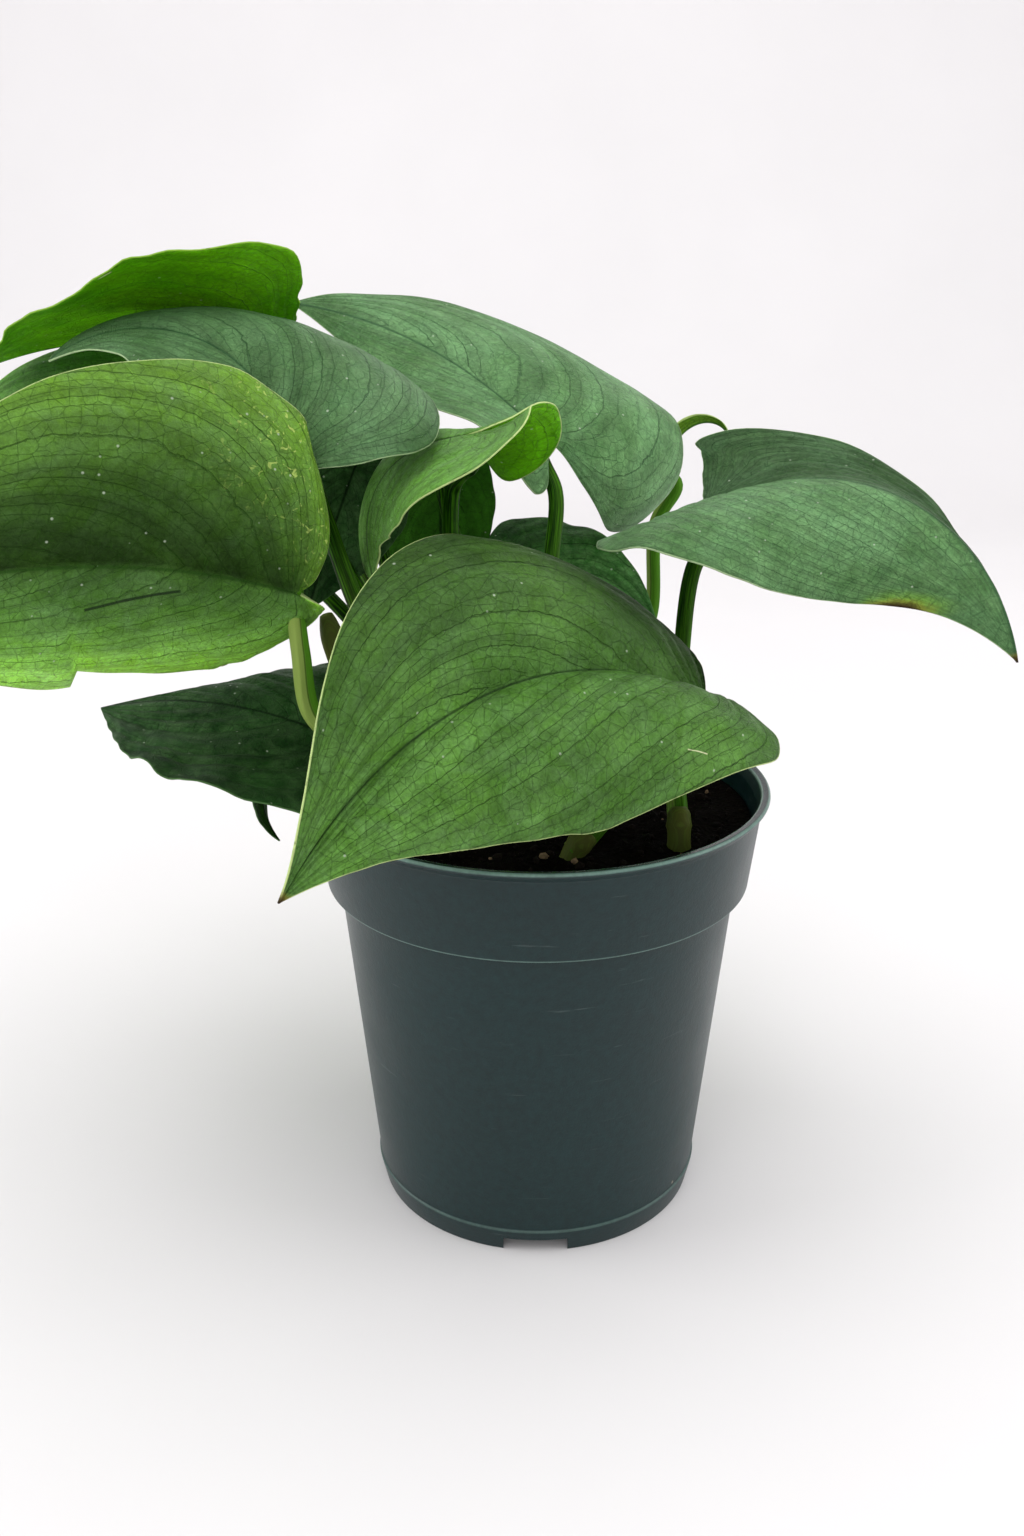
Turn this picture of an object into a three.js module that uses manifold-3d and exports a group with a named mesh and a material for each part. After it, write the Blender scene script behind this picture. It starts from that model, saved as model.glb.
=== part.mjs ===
import * as THREE from "three";
import { mergeVertices } from "three/addons/utils/BufferGeometryUtils.js";
import Module from "manifold-3d";

// A platinum scindapsus in a round nursery pot. Millimetres, +Z up.
// The origin is the centre of the pot's base, on the surface that the pot stands on.
// Seen from the front (looking along +Y), +X is to the right.

const wasm = await Module();
wasm.setup();

// Clearance left between two pieces that touch on the real plant.
const CLEARANCE = 0.42;

// Pot: a thin moulded shell with a rolled rim, a stacking collar and a foot ring.
const POT = {
  height: 103,
  rimRadius: 54,
  rimDepth: 2.1,
  rimInnerRadius: 51.9,
  collarTopRadius: 52.3,
  collarBottomRadius: 49.9,
  collarBottom: 81,
  bodyTopRadius: 47,
  bodyBottomRadius: 39.6,
  footHeight: 6.4,
  footTopRadius: 40,
  footRadius: 38.6,
  footWidth: 1.9,
  wall: 1.6,
  floorUnderside: 5.4,
  floorTop: 7,
  dimpleRadius: 9,
  sides: 48,
};
const NOTCH = { count: 3, width: 15, height: 3.6 };
const DRAIN_HOLE = { count: 8, radius: 3.5, ringRadius: 26, sides: 16 };

// Soil: fills the pot to a few millimetres under the rim, with an uneven top.
const SOIL = { top: 96, rings: 4, unevenness: 0.9 };

// Leaf blades: a closed sheet of constant thickness.
const BLADE_THICKNESS = 0.8;
const BLADE_STATIONS = 16;
const BLADE_COLUMNS = 3;
const RIB_SAMPLES = 80;
// The rib's stations crowd towards the leaf base, so that rays fan out round the lobes.
const RIB_CROWDING = 1.6;

// Each leaf: where its stalk joins (at), the compass heading of the midrib in degrees from +X,
// its pitch above the horizontal, how far the pitch changes along the rib (droop, and tipDroop
// that grows towards the tip), its sideways turn, the roll about the rib (positive drops the left
// half) and the twist along it. Then the rib's length, the widths of the left and right halves,
// how far each lobe reaches back, where each half is widest (share of the length), the angle of
// each half above flat at the rib (fold, tipFold), how that angle changes towards the margin
// (curlLeft, curlRight), the lift of the lobes, and the wave of the margin (height, count, phase).
const LEAVES = [
  { name: "leaf_front", at: [36, -19.5, 128], heading: 212, pitch: 36, droop: -100, tipDroop: 13,
    turn: 12, roll: 14, twist: 79, length: 117, left: 36.5, right: 44, lobeLeft: 4, lobeRight: 1,
    widestLeft: 0.33, widestRight: 0.18, fold: 38, tipFold: 37, curlLeft: -87, curlRight: -93,
    lobeLift: 1, wave: [0, 0, 0], colour: "green" },
  { name: "leaf_left", at: [-50, -26.5, 153.5], heading: 212, pitch: 22, droop: -39, tipDroop: 0,
    turn: 0, roll: 105, twist: 8, length: 104, left: 39, right: 43, lobeLeft: 29, lobeRight: 10,
    widestLeft: 0.11, widestRight: 0.13, fold: -20, tipFold: 19, curlLeft: -33, curlRight: -42,
    lobeLift: -71, wave: [1.2, 2.5, 0.1], colour: "green" },
  { name: "leaf_top_left", at: [-65.5, 58, 196], heading: 187, pitch: 14, droop: -36, tipDroop: 0,
    turn: -23, roll: -23, twist: 38, length: 83, left: 43, right: 38.5, lobeLeft: 3, lobeRight: 18,
    widestLeft: 0.24, widestRight: 0.12, fold: 28, tipFold: 7, curlLeft: -15, curlRight: -15,
    lobeLift: -6, wave: [1, 3, 0.3], colour: "bright" },
  { name: "leaf_middle_left", at: [-52, -5.5, 176], heading: 113, pitch: 50, droop: -36,
    tipDroop: -50, turn: 79, roll: 28, twist: -8, length: 82.5, left: 29, right: 41.5,
    lobeLeft: 15.5, lobeRight: 6, widestLeft: 0.12, widestRight: 0.32, fold: 35, tipFold: -2,
    curlLeft: -20, curlRight: -100, lobeLift: 0, wave: [0, 0, 0], colour: "blue_green" },
  { name: "leaf_far_left", at: [-84, 47, 167], heading: 170, pitch: 32, droop: -51, tipDroop: -13,
    turn: -13, roll: 29, twist: 21, length: 81, left: 32, right: 32, lobeLeft: 22, lobeRight: 22,
    widestLeft: 0.12, widestRight: 0.13, fold: 11, tipFold: 16, curlLeft: -15, curlRight: -18,
    lobeLift: 0, wave: [1.5, 2, 0.2], colour: "light" },
  { name: "leaf_top", at: [0, 45.5, 177.5], heading: 129, pitch: 28, droop: -5, tipDroop: -17,
    turn: 37, roll: 7, twist: 41, length: 86, left: 20.5, right: 48.5, lobeLeft: 15,
    lobeRight: 31.5, widestLeft: 0.17, widestRight: 0.08, fold: 22, tipFold: -19, curlLeft: -7,
    curlRight: -57, lobeLift: -75, wave: [0, 0, 0], colour: "blue_green" },
  { name: "leaf_curled", at: [-16.5, 1.5, 182], heading: 173, pitch: -5, droop: -85, tipDroop: -32,
    turn: -48, roll: 10, twist: 79, length: 48.5, left: 23.5, right: 34, lobeLeft: 19.5,
    lobeRight: 15.5, widestLeft: 0.16, widestRight: 0.02, fold: -4, tipFold: 2, curlLeft: 1,
    curlRight: -76, lobeLift: 55, wave: [0, 0, 0], colour: "green" },
  { name: "leaf_hanging", at: [-25.5, 56, 166], heading: 95, pitch: -68, droop: -20, tipDroop: 0,
    turn: 0, roll: 5, twist: 0, length: 50, left: 20, right: 14.5, lobeLeft: 8, lobeRight: 8,
    widestLeft: 0.14, widestRight: 0.14, fold: 10, tipFold: 10, curlLeft: -30, curlRight: -30,
    lobeLift: 10, wave: [0, 0, 0], colour: "bright" },
  { name: "leaf_back_right", at: [-8.5, 50, 140], heading: -8, pitch: -20, droop: -18, tipDroop: 13,
    turn: 9, roll: -47, twist: -23, length: 47, left: 27, right: 26, lobeLeft: 8.5, lobeRight: 14,
    widestLeft: 0.15, widestRight: 0.12, fold: -7, tipFold: 16, curlLeft: -28, curlRight: -15,
    lobeLift: 2, wave: [1, 3, 0], colour: "dark" },
  { name: "leaf_right", at: [38, 14, 164.5], heading: -24, pitch: 32, droop: -86, tipDroop: -20,
    turn: -29, roll: -8, twist: 7, length: 92, left: 23.5, right: 44, lobeLeft: 1, lobeRight: 19,
    widestLeft: 0, widestRight: 0.05, fold: 22, tipFold: -65, curlLeft: 26, curlRight: -30,
    lobeLift: 16, wave: [0, 0, 0], colour: "blue_green" },
  { name: "leaf_lower_left", at: [-48, 2, 112.5], heading: 172, pitch: 25, droop: -54, tipDroop: 13,
    turn: -12, roll: 36, twist: -34, length: 62, left: 37.5, right: 31.5, lobeLeft: 12,
    lobeRight: 12, widestLeft: 0.24, widestRight: 0.3, fold: 10, tipFold: -19, curlLeft: 35,
    curlRight: -48, lobeLift: 7, wave: [1.2, 4, 0.2], colour: "dark" },
  { name: "leaf_young", at: [32.5, 77.5, 162.5], heading: 8, pitch: 72, droop: 0, tipDroop: -150,
    turn: 0, roll: 0, twist: 0, length: 29, left: 3.2, right: 3.2, lobeLeft: 1, lobeRight: 1,
    widestLeft: 0.3, widestRight: 0.3, fold: 60, tipFold: 40, curlLeft: 60, curlRight: 60,
    lobeLift: 0, wave: [0, 0, 0], colour: "light" },
  { name: "leaf_low_hook", at: [-59, 18, 107], heading: 172, pitch: -25, droop: -105, tipDroop: 0,
    turn: 0, roll: 0, twist: 0, length: 33, left: 7, right: 7, lobeLeft: 3, lobeRight: 3,
    widestLeft: 0.2, widestRight: 0.2, fold: 20, tipFold: 20, curlLeft: -40, curlRight: -40,
    lobeLift: 0, wave: [0, 0, 0], colour: "dark" },
  { name: "leaf_behind", at: [-94, 126, 180.5], heading: 5, pitch: 22, droop: -25, tipDroop: 0,
    turn: 0, roll: 20, twist: 0, length: 45, left: 17, right: 17, lobeLeft: 9.5, lobeRight: 9.5,
    widestLeft: 0.15, widestRight: 0.15, fold: 12, tipFold: 5, curlLeft: -25, curlRight: -25,
    lobeLift: 0, wave: [0.6, 2, 0], colour: "blue_green" },
  { name: "leaf_rear", at: [6, 68, 114], heading: 92, pitch: 22, droop: -85, tipDroop: 0, turn: 5,
    roll: -8, twist: 10, length: 80, left: 32, right: 34, lobeLeft: 14, lobeRight: 13,
    widestLeft: 0.13, widestRight: 0.15, fold: 16, tipFold: 4, curlLeft: -30, curlRight: -35,
    lobeLift: -10, wave: [1.2, 2.5, 0.4], colour: "green" },
  { name: "leaf_rear_left", at: [-36, 50, 108], heading: 122, pitch: 12, droop: -90, tipDroop: 0,
    turn: -8, roll: 6, twist: -6, length: 72, left: 27, right: 27, lobeLeft: 13, lobeRight: 13,
    widestLeft: 0.12, widestRight: 0.14, fold: 18, tipFold: 6, curlLeft: -30, curlRight: -25,
    lobeLift: 0, wave: [1, 3, 0.1], colour: "blue_green" },
  { name: "leaf_rear_low", at: [30, 60, 101], heading: 64, pitch: -15, droop: -75, tipDroop: 0,
    turn: 6, roll: 12, twist: 0, length: 60, left: 22, right: 23, lobeLeft: 10, lobeRight: 11,
    widestLeft: 0.13, widestRight: 0.13, fold: 15, tipFold: 5, curlLeft: -30, curlRight: -30,
    lobeLift: 0, wave: [1, 3, 0.3], colour: "green" },
  { name: "leaf_shaded", at: [-44, 32, 171.5], heading: 205, pitch: -66, droop: -5, tipDroop: 0,
    turn: 0, roll: 70, twist: 0, length: 37, left: 16, right: 14, lobeLeft: 5, lobeRight: 5,
    widestLeft: 0.2, widestRight: 0.2, fold: 14, tipFold: 5, curlLeft: -25, curlRight: -25,
    lobeLift: 0, wave: [0.5, 2, 0], colour: "dark" },
];

// Shoots: vine stems in the soil with the leaf stalks that grow from them.
// A stem or a stalk is a list of points from the soil upwards; a stalk ends at its leaf.
const STEM_RADIUS = 3;
const STALK_RADIUS = 2.2;
const SHOOTS = [
  { name: "shoot_left",
    stem: [[-20, -6, 84], [-23, -5, 99], [-35, -3, 118], [-44, -4, 132], [-47, -6, 144]],
    stalks: [
      { leaf: "leaf_left", points: [[-34, -4, 116], [-43, -10, 116], [-50, -15, 124], [-51, -20, 140]] },
      { leaf: "leaf_lower_left", points: [[-24, -4, 101], [-34, 3, 102], [-43, 6, 105]] },
      { leaf: "leaf_low_hook", points: [[-23, -3, 100], [-36, 13, 104], [-49, 17, 109]] },
    ] },
  { name: "shoot_centre", stem: [[-14, 4, 84], [-15, 4, 99], [-19, 3, 112]],
    stalks: [
      { leaf: "leaf_top_left", points: [[-16, 4, 104], [-30, -3, 124], [-40, 0, 142.5], [-48, 7, 163],
        [-58, 28, 184]] },
      { leaf: "leaf_middle_left", points: [[-16, 4, 103], [-33, 14, 130], [-47, 10, 156]] },
    ] },
  { name: "shoot_back", stem: [[0, 14, 84], [0, 15, 99], [1, 16, 112]],
    stalks: [
      { leaf: "leaf_top", points: [[0, 15, 104], [2, 20, 132], [3, 30, 148.5], [4, 38, 164]] },
      { leaf: "leaf_curled", points: [[0, 15, 103], [-14, 10, 128], [-20, 14, 153], [-20, 18, 168]] },
      { leaf: "leaf_hanging", points: [[0, 16, 106], [-12, 34, 132], [-22, 50, 152]] },
      { leaf: "leaf_back_right", points: [[1, 16, 104], [0, 32, 118], [-8, 50, 130]] },
    ] },
  { name: "shoot_front", stem: [[6, -30, 84], [8, -29, 97], [12, -28, 102]],
    stalks: [
      { leaf: "leaf_front", points: [[8, -29, 97], [15, -27, 105], [25, -22, 117]] },
    ] },
  { name: "shoot_right", stem: [[31.5, -22, 84], [31.5, -22, 97], [31.5, -19, 104]],
    stalks: [
      { leaf: "leaf_right", points: [[31.5, -21, 99], [31, -6, 113], [33, 6, 130], [35.5, 12, 150]] },
    ] },
  { name: "shoot_rear", stem: [[8, 33, 84], [8, 35, 98], [7, 39, 109]],
    stalks: [
      { leaf: "leaf_young", points: [[8, 36, 101], [19, 55, 109], [31, 74, 124], [32, 78, 149]] },
      { leaf: "leaf_rear", points: [[8, 36, 101], [7, 50, 110], [6, 60, 113]] },
      { leaf: "leaf_rear_low", points: [[9, 35, 99], [17, 43, 107], [25, 52, 107]] },
    ] },
  { name: "shoot_rear_left", stem: [[-19, 27, 84], [-20, 28, 98], [-24, 31, 110]],
    stalks: [
      { leaf: "leaf_rear_left", points: [[-21, 29, 101], [-29, 41, 108]] },
      { leaf: "leaf_shaded", points: [[-22, 29, 104], [-34, 40, 132], [-41, 42, 155]] },
      { leaf: "leaf_far_left", points: [[-20, 28, 99], [-44, 38, 128], [-70, 46, 152]] },
      { leaf: "leaf_behind", points: [[-21, 29, 103], [-46, 60, 138], [-78, 104, 168]] },
    ] },
];

const COLOURS = {
  green: "#4f8a3c", bright: "#4f8f12", blue_green: "#4b7a5c", light: "#8bb06a", dark: "#2f5238",
  stalk: "#5d7d2f", pot: "#34474a", soil: "#1c1713",
};

const radians = THREE.MathUtils.degToRad;

function asManifold(geometry) {
  const bare = geometry.clone();
  bare.deleteAttribute("normal");
  bare.deleteAttribute("uv");
  const merged = mergeVertices(bare, 1e-4);
  const vertProperties = Float32Array.from(merged.attributes.position.array);
  const triVerts = Uint32Array.from(merged.index.array);
  return new wasm.Manifold(new wasm.Mesh({ numProp: 3, vertProperties, triVerts }));
}

function asGeometry(solid) {
  const mesh = solid.getMesh();
  const geometry = new THREE.BufferGeometry();
  geometry.setAttribute("position", new THREE.BufferAttribute(mesh.vertProperties, 3));
  geometry.setIndex(new THREE.BufferAttribute(mesh.triVerts, 1));
  return geometry;
}

function largestPiece(solid) {
  return solid.decompose().reduce((a, b) => (a.volume() > b.volume() ? a : b));
}

// The direction along a leaf's rib, its left side and its upper side, at a share of the length.
function ribFrame(leaf, share) {
  const heading = radians(leaf.heading + leaf.turn * share);
  const pitch = radians(leaf.pitch + leaf.droop * share + leaf.tipDroop * share * share);
  const roll = radians(leaf.roll + leaf.twist * share);
  const along = new THREE.Vector3(
    Math.cos(pitch) * Math.cos(heading), Math.cos(pitch) * Math.sin(heading), Math.sin(pitch));
  const level = new THREE.Vector3(-Math.sin(heading), Math.cos(heading), 0);
  const above = new THREE.Vector3().crossVectors(along, level);
  const left = level.clone().multiplyScalar(Math.cos(roll)).addScaledVector(above, -Math.sin(roll));
  const up = above.clone().multiplyScalar(Math.cos(roll)).addScaledVector(level, Math.sin(roll));
  return { along, left, up };
}

// The rib as a chain of points: the sum of its direction over equal steps.
function ribPoints(leaf) {
  const points = [new THREE.Vector3(...leaf.at)];
  for (let i = 0; i < RIB_SAMPLES; i += 1) {
    const { along } = ribFrame(leaf, (i + 0.5) / RIB_SAMPLES);
    points.push(points[i].clone().addScaledVector(along, leaf.length / RIB_SAMPLES));
  }
  return points;
}

// A point of the bent blade from its place on the flat blade: x along the rib, y across one half.
function bladePoint(leaf, rib, side, x, y) {
  const share = THREE.MathUtils.clamp(x / leaf.length, 0, 1);
  const place = share * RIB_SAMPLES;
  const index = Math.min(Math.floor(place), RIB_SAMPLES - 1);
  const point = rib[index].clone().lerp(rib[index + 1], place - index);
  const { along, left, up } = ribFrame(leaf, share);
  // Behind the stalk the lobes go on along a round bend.
  const back = Math.max(-x, 0);
  const bend = (radians(leaf.lobeLift) * back) / 20 || 1e-6;
  point.addScaledVector(along, (-back * Math.sin(bend)) / bend);
  point.addScaledVector(up, (back * (1 - Math.cos(bend))) / bend);
  const lobeUp = up.clone().multiplyScalar(Math.cos(bend)).addScaledVector(along, Math.sin(bend));
  // Across, the half starts at the fold angle and curls evenly towards its margin.
  const width = side > 0 ? leaf.left : leaf.right;
  const curl = radians(side > 0 ? leaf.curlLeft : leaf.curlRight);
  const fold = radians(leaf.fold * (1 - share) + leaf.tipFold * share);
  const eta = y / width;
  const steps = 8;
  let across = 0;
  let rise = 0;
  for (let k = 0; k < steps; k += 1) {
    const angle = fold + (curl * eta * (k + 0.5)) / steps;
    across += (Math.cos(angle) * y) / steps;
    rise += (Math.sin(angle) * y) / steps;
  }
  const [height, count, phase] = leaf.wave;
  const shift = side > 0 ? 0 : 2;
  const fade = THREE.MathUtils.clamp(1.15 - share, 0, 1);
  rise += height * Math.min(eta, 1.2) ** 2 * Math.sin(2 * Math.PI * (count * share + phase) + shift) * fade;
  return point.addScaledVector(left, side * across).addScaledVector(lobeUp, rise);
}

// The margin of one half on the flat blade: from the stalk round the lobe to the tip.
function marginCurve(leaf, side) {
  const lobe = side > 0 ? leaf.lobeLeft : leaf.lobeRight;
  const width = side > 0 ? leaf.left : leaf.right;
  const widest = side > 0 ? leaf.widestLeft : leaf.widestRight;
  const rest = 1 - widest;
  const shape = [
    [0, 0], [-0.52 * lobe, 0.12], [-lobe, 0.42], [-0.7 * lobe + 0.1 * widest * leaf.length, 0.8],
    [widest * leaf.length, 1], [(widest + 0.27 * rest) * leaf.length, 0.91],
    [(widest + 0.57 * rest) * leaf.length, 0.63], [(widest + 0.82 * rest) * leaf.length, 0.27],
    [leaf.length, 0],
  ];
  return new THREE.SplineCurve(shape.map(([x, y]) => new THREE.Vector2(x, y * width)));
}

// A closed sheet: the same triangles on its upper and lower faces, and a rim all round.
function bladeGeometry(leaf, thickness, outset = 0) {
  const rib = ribPoints(leaf);
  const margins = { 1: marginCurve(leaf, 1), [-1]: marginCurve(leaf, -1) };
  const columns = 2 * BLADE_COLUMNS;
  const flat = (row, column) => {
    const t = row / BLADE_STATIONS;
    const side = column < BLADE_COLUMNS ? -1 : 1;
    const share = Math.abs(column - BLADE_COLUMNS) / BLADE_COLUMNS;
    const margin = margins[side].getPoint(t);
    const centre = new THREE.Vector2(leaf.length / 3, 0);
    const spread = margin.clone().sub(centre);
    margin.addScaledVector(spread, outset / spread.length());
    const start = leaf.length * t ** RIB_CROWDING;
    return { side, x: start + (margin.x - start) * share, y: Math.max(margin.y, 0) * share };
  };
  const reach = 0.3;
  const surface = (side, x, y) => bladePoint(leaf, rib, side, x, y);
  const middle = [];
  const normals = [];
  const addPoint = (side, x, y) => {
    const here = surface(side, x, y);
    const ahead = surface(side, x + reach, y);
    const out = surface(side, x, y + reach);
    const normal = new THREE.Vector3().crossVectors(ahead.sub(here), out.sub(here)).normalize();
    const share = THREE.MathUtils.clamp(x / leaf.length, 0, 1);
    middle.push(here);
    normals.push(y === 0 ? ribFrame(leaf, share).up : normal.multiplyScalar(side));
  };
  addPoint(1, -outset, 0);
  for (let row = 1; row < BLADE_STATIONS; row += 1) {
    for (let column = 0; column <= columns; column += 1) {
      const { side, x, y } = flat(row, column);
      addPoint(side, x, y);
    }
  }
  addPoint(1, leaf.length - reach, 0);
  const tip = middle.length - 1;
  const at = (row, column) => 1 + (row - 1) * (columns + 1) + column;
  const faces = [];
  for (let column = 0; column < columns; column += 1) {
    faces.push([0, at(1, column), at(1, column + 1)]);
    for (let row = 1; row < BLADE_STATIONS - 1; row += 1) {
      const a = at(row, column);
      const b = at(row, column + 1);
      const c = at(row + 1, column + 1);
      const d = at(row + 1, column);
      faces.push(column < BLADE_COLUMNS ? [a, d, b] : [a, d, c]);
      faces.push(column < BLADE_COLUMNS ? [b, d, c] : [a, c, b]);
    }
    faces.push([at(BLADE_STATIONS - 1, column), tip, at(BLADE_STATIONS - 1, column + 1)]);
  }
  const rim = [0];
  for (let row = 1; row < BLADE_STATIONS; row += 1) rim.push(at(row, 0));
  rim.push(tip);
  for (let row = BLADE_STATIONS - 1; row > 0; row -= 1) rim.push(at(row, columns));
  const count = middle.length;
  const position = new Float32Array(count * 6);
  middle.forEach((point, i) => {
    const lift = normals[i].clone().multiplyScalar(thickness / 2);
    point.clone().add(lift).toArray(position, i * 3);
    point.clone().sub(lift).toArray(position, (count + i) * 3);
  });
  const index = [];
  faces.forEach(([a, b, c]) => index.push(a, b, c, count + a, count + c, count + b));
  rim.forEach((a, i) => {
    const b = rim[(i + 1) % rim.length];
    index.push(a, count + a, b, b, count + a, count + b);
  });
  const geometry = new THREE.BufferGeometry();
  geometry.setAttribute("position", new THREE.BufferAttribute(position, 3));
  geometry.setIndex(index);
  return geometry;
}

// A round tube along a chain of points.
function tube(points, radius, sides = 8, stepLength = 9) {
  const path = new THREE.CatmullRomCurve3(points, false, "centripetal");
  const section = new THREE.Shape();
  for (let i = 0; i < sides; i += 1) {
    const angle = (2 * Math.PI * i) / sides;
    const [x, y] = [radius * Math.cos(angle), radius * Math.sin(angle)];
    if (i === 0) section.moveTo(x, y);
    else section.lineTo(x, y);
  }
  section.closePath();
  const steps = Math.max(4, Math.round(path.getLength() / stepLength));
  return asManifold(new THREE.ExtrudeGeometry(section, { extrudePath: path, steps, bevelEnabled: false }));
}

function vectors(list) {
  return list.map((point) => new THREE.Vector3(...point));
}

// A stalk comes up through its points, turns under the leaf and meets the rib's end from below.
function stalkPoints(stalk) {
  const leaf = LEAVES.find(({ name }) => name === stalk.leaf);
  const { along, up } = ribFrame(leaf, 0);
  const joint = new THREE.Vector3(...leaf.at);
  const knee = joint.clone().addScaledVector(up, -5).addScaledVector(along, -1);
  const end = joint.clone().addScaledVector(up, -BLADE_THICKNESS / 2 - CLEARANCE);
  return [...vectors(stalk.points), knee, end];
}

// One shoot: its stem and stalks grown together, cut back to clear the blades they carry.
function shootSolid(shoot) {
  let solid = tube(vectors(shoot.stem), STEM_RADIUS);
  shoot.stalks.forEach((stalk) => {
    solid = solid.add(tube(stalkPoints(stalk), STALK_RADIUS));
  });
  shoot.stalks.forEach((stalk) => {
    const leaf = LEAVES.find(({ name }) => name === stalk.leaf);
    const room = asManifold(bladeGeometry(leaf, BLADE_THICKNESS + 2 * CLEARANCE, 4 * CLEARANCE));
    solid = solid.subtract(room);
  });
  return largestPiece(solid);
}

function lathe(profile, sides) {
  const points = profile.map(([radius, z]) => new THREE.Vector2(radius, z));
  return new THREE.LatheGeometry(points, sides).rotateX(Math.PI / 2);
}

// The pot's inner wall from the floor up to the rim, as radius and height.
function innerWall(inset) {
  const bodyInner = POT.bodyTopRadius - POT.wall - inset;
  return [
    [POT.bodyBottomRadius - POT.wall - inset, POT.floorTop + 2],
    [bodyInner, POT.collarBottom - POT.wall],
    [POT.collarBottomRadius - POT.wall - inset, POT.collarBottom + POT.wall],
    [POT.collarTopRadius - POT.wall - inset, POT.height - 3],
  ];
}

function potSolid() {
  const [innerBottom, innerStep, innerCollar, innerTop] = innerWall(0);
  const footInner = POT.footRadius - POT.footWidth;
  const profile = [
    [0, 0],
    [POT.dimpleRadius, 0],
    [POT.dimpleRadius + 3, POT.floorUnderside],
    [footInner - 1, POT.floorUnderside],
    [footInner, 0],
    [POT.footRadius, 0],
    [POT.footTopRadius, POT.footHeight - 0.3],
    [POT.bodyBottomRadius, POT.footHeight],
    [POT.bodyTopRadius, POT.collarBottom],
    [POT.collarBottomRadius, POT.collarBottom],
    [POT.collarTopRadius, POT.height - POT.rimDepth],
    [POT.rimRadius - 0.6, POT.height - POT.rimDepth],
    [POT.rimRadius, POT.height - POT.rimDepth + 0.5],
    [POT.rimRadius, POT.height - 0.6],
    [POT.rimRadius - 0.5, POT.height],
    [POT.rimInnerRadius, POT.height - 0.4],
    innerTop,
    innerCollar,
    innerStep,
    innerBottom,
    [innerBottom[0] - 2, POT.floorTop],
    [0, POT.floorTop],
  ];
  let solid = asManifold(lathe(profile, POT.sides));
  for (let i = 0; i < NOTCH.count; i += 1) {
    const angle = (2 * Math.PI * i) / NOTCH.count - Math.PI / 2;
    const notch = new THREE.BoxGeometry(8, NOTCH.width, NOTCH.height * 2);
    notch.translate(POT.footRadius - 0.5, 0, 0).rotateZ(angle);
    solid = solid.subtract(asManifold(notch));
  }
  for (let i = 0; i < DRAIN_HOLE.count; i += 1) {
    const angle = (2 * Math.PI * (i + 0.5)) / DRAIN_HOLE.count;
    const hole = new THREE.CylinderGeometry(DRAIN_HOLE.radius, DRAIN_HOLE.radius, 6, DRAIN_HOLE.sides);
    hole.rotateX(Math.PI / 2).translate(0, 0, POT.floorTop);
    hole.translate(DRAIN_HOLE.ringRadius * Math.cos(angle), DRAIN_HOLE.ringRadius * Math.sin(angle), 0);
    solid = solid.subtract(asManifold(hole));
  }
  return solid;
}

// Uneven ground: a few crossing waves, flat where the soil meets the wall.
function soilRise(x, y) {
  const radius = Math.hypot(x, y);
  const fade = THREE.MathUtils.clamp((49 - radius) / 12, 0, 1);
  const waves = Math.sin(x * 0.31 + 1) * Math.cos(y * 0.27) + 0.6 * Math.sin(x * 0.13 - y * 0.43);
  return SOIL.unevenness * fade * waves;
}

function soilSolid() {
  const [bottom, step, collar, top] = innerWall(CLEARANCE);
  const share = (SOIL.top - collar[1]) / (top[1] - collar[1]);
  const edge = collar[0] + (top[0] - collar[0]) * share;
  const base = POT.floorTop + CLEARANCE;
  const profile = [[0, base], [bottom[0] - 2, base], bottom, step, collar];
  for (let i = SOIL.rings; i >= 0; i -= 1) profile.push([(edge * i) / SOIL.rings, SOIL.top]);
  const geometry = lathe(profile, POT.sides);
  const { position } = geometry.attributes;
  for (let i = 0; i < position.count; i += 1) {
    if (position.getZ(i) > SOIL.top - 0.01) {
      position.setZ(i, SOIL.top + soilRise(position.getX(i), position.getY(i)));
    }
  }
  let solid = asManifold(geometry);
  SHOOTS.forEach((shoot) => {
    const [foot, next] = vectors(shoot.stem);
    const lower = foot.clone().addScaledVector(next.clone().sub(foot).normalize(), -CLEARANCE);
    solid = solid.subtract(tube([lower, ...vectors(shoot.stem.slice(1))], STEM_RADIUS + CLEARANCE));
    shoot.stalks.forEach((stalk) => {
      solid = solid.subtract(tube(stalkPoints(stalk), STALK_RADIUS + CLEARANCE));
    });
  });
  return largestPiece(solid);
}

const group = new THREE.Group();

function addMesh(name, geometry, colour, roughness) {
  const flat = geometry.toNonIndexed();
  flat.computeVertexNormals();
  const material = new THREE.MeshStandardMaterial({ color: colour, roughness, metalness: 0 });
  const mesh = new THREE.Mesh(flat, material);
  mesh.name = name;
  group.add(mesh);
}

addMesh("pot", asGeometry(potSolid()), COLOURS.pot, 0.5);
addMesh("soil", asGeometry(soilSolid()), COLOURS.soil, 1);
SHOOTS.forEach((shoot) => {
  addMesh(shoot.name, asGeometry(shootSolid(shoot)), COLOURS.stalk, 0.45);
});
LEAVES.forEach((leaf) => {
  addMesh(leaf.name, bladeGeometry(leaf, BLADE_THICKNESS), COLOURS[leaf.colour], 0.5);
});

export default group;
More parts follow.
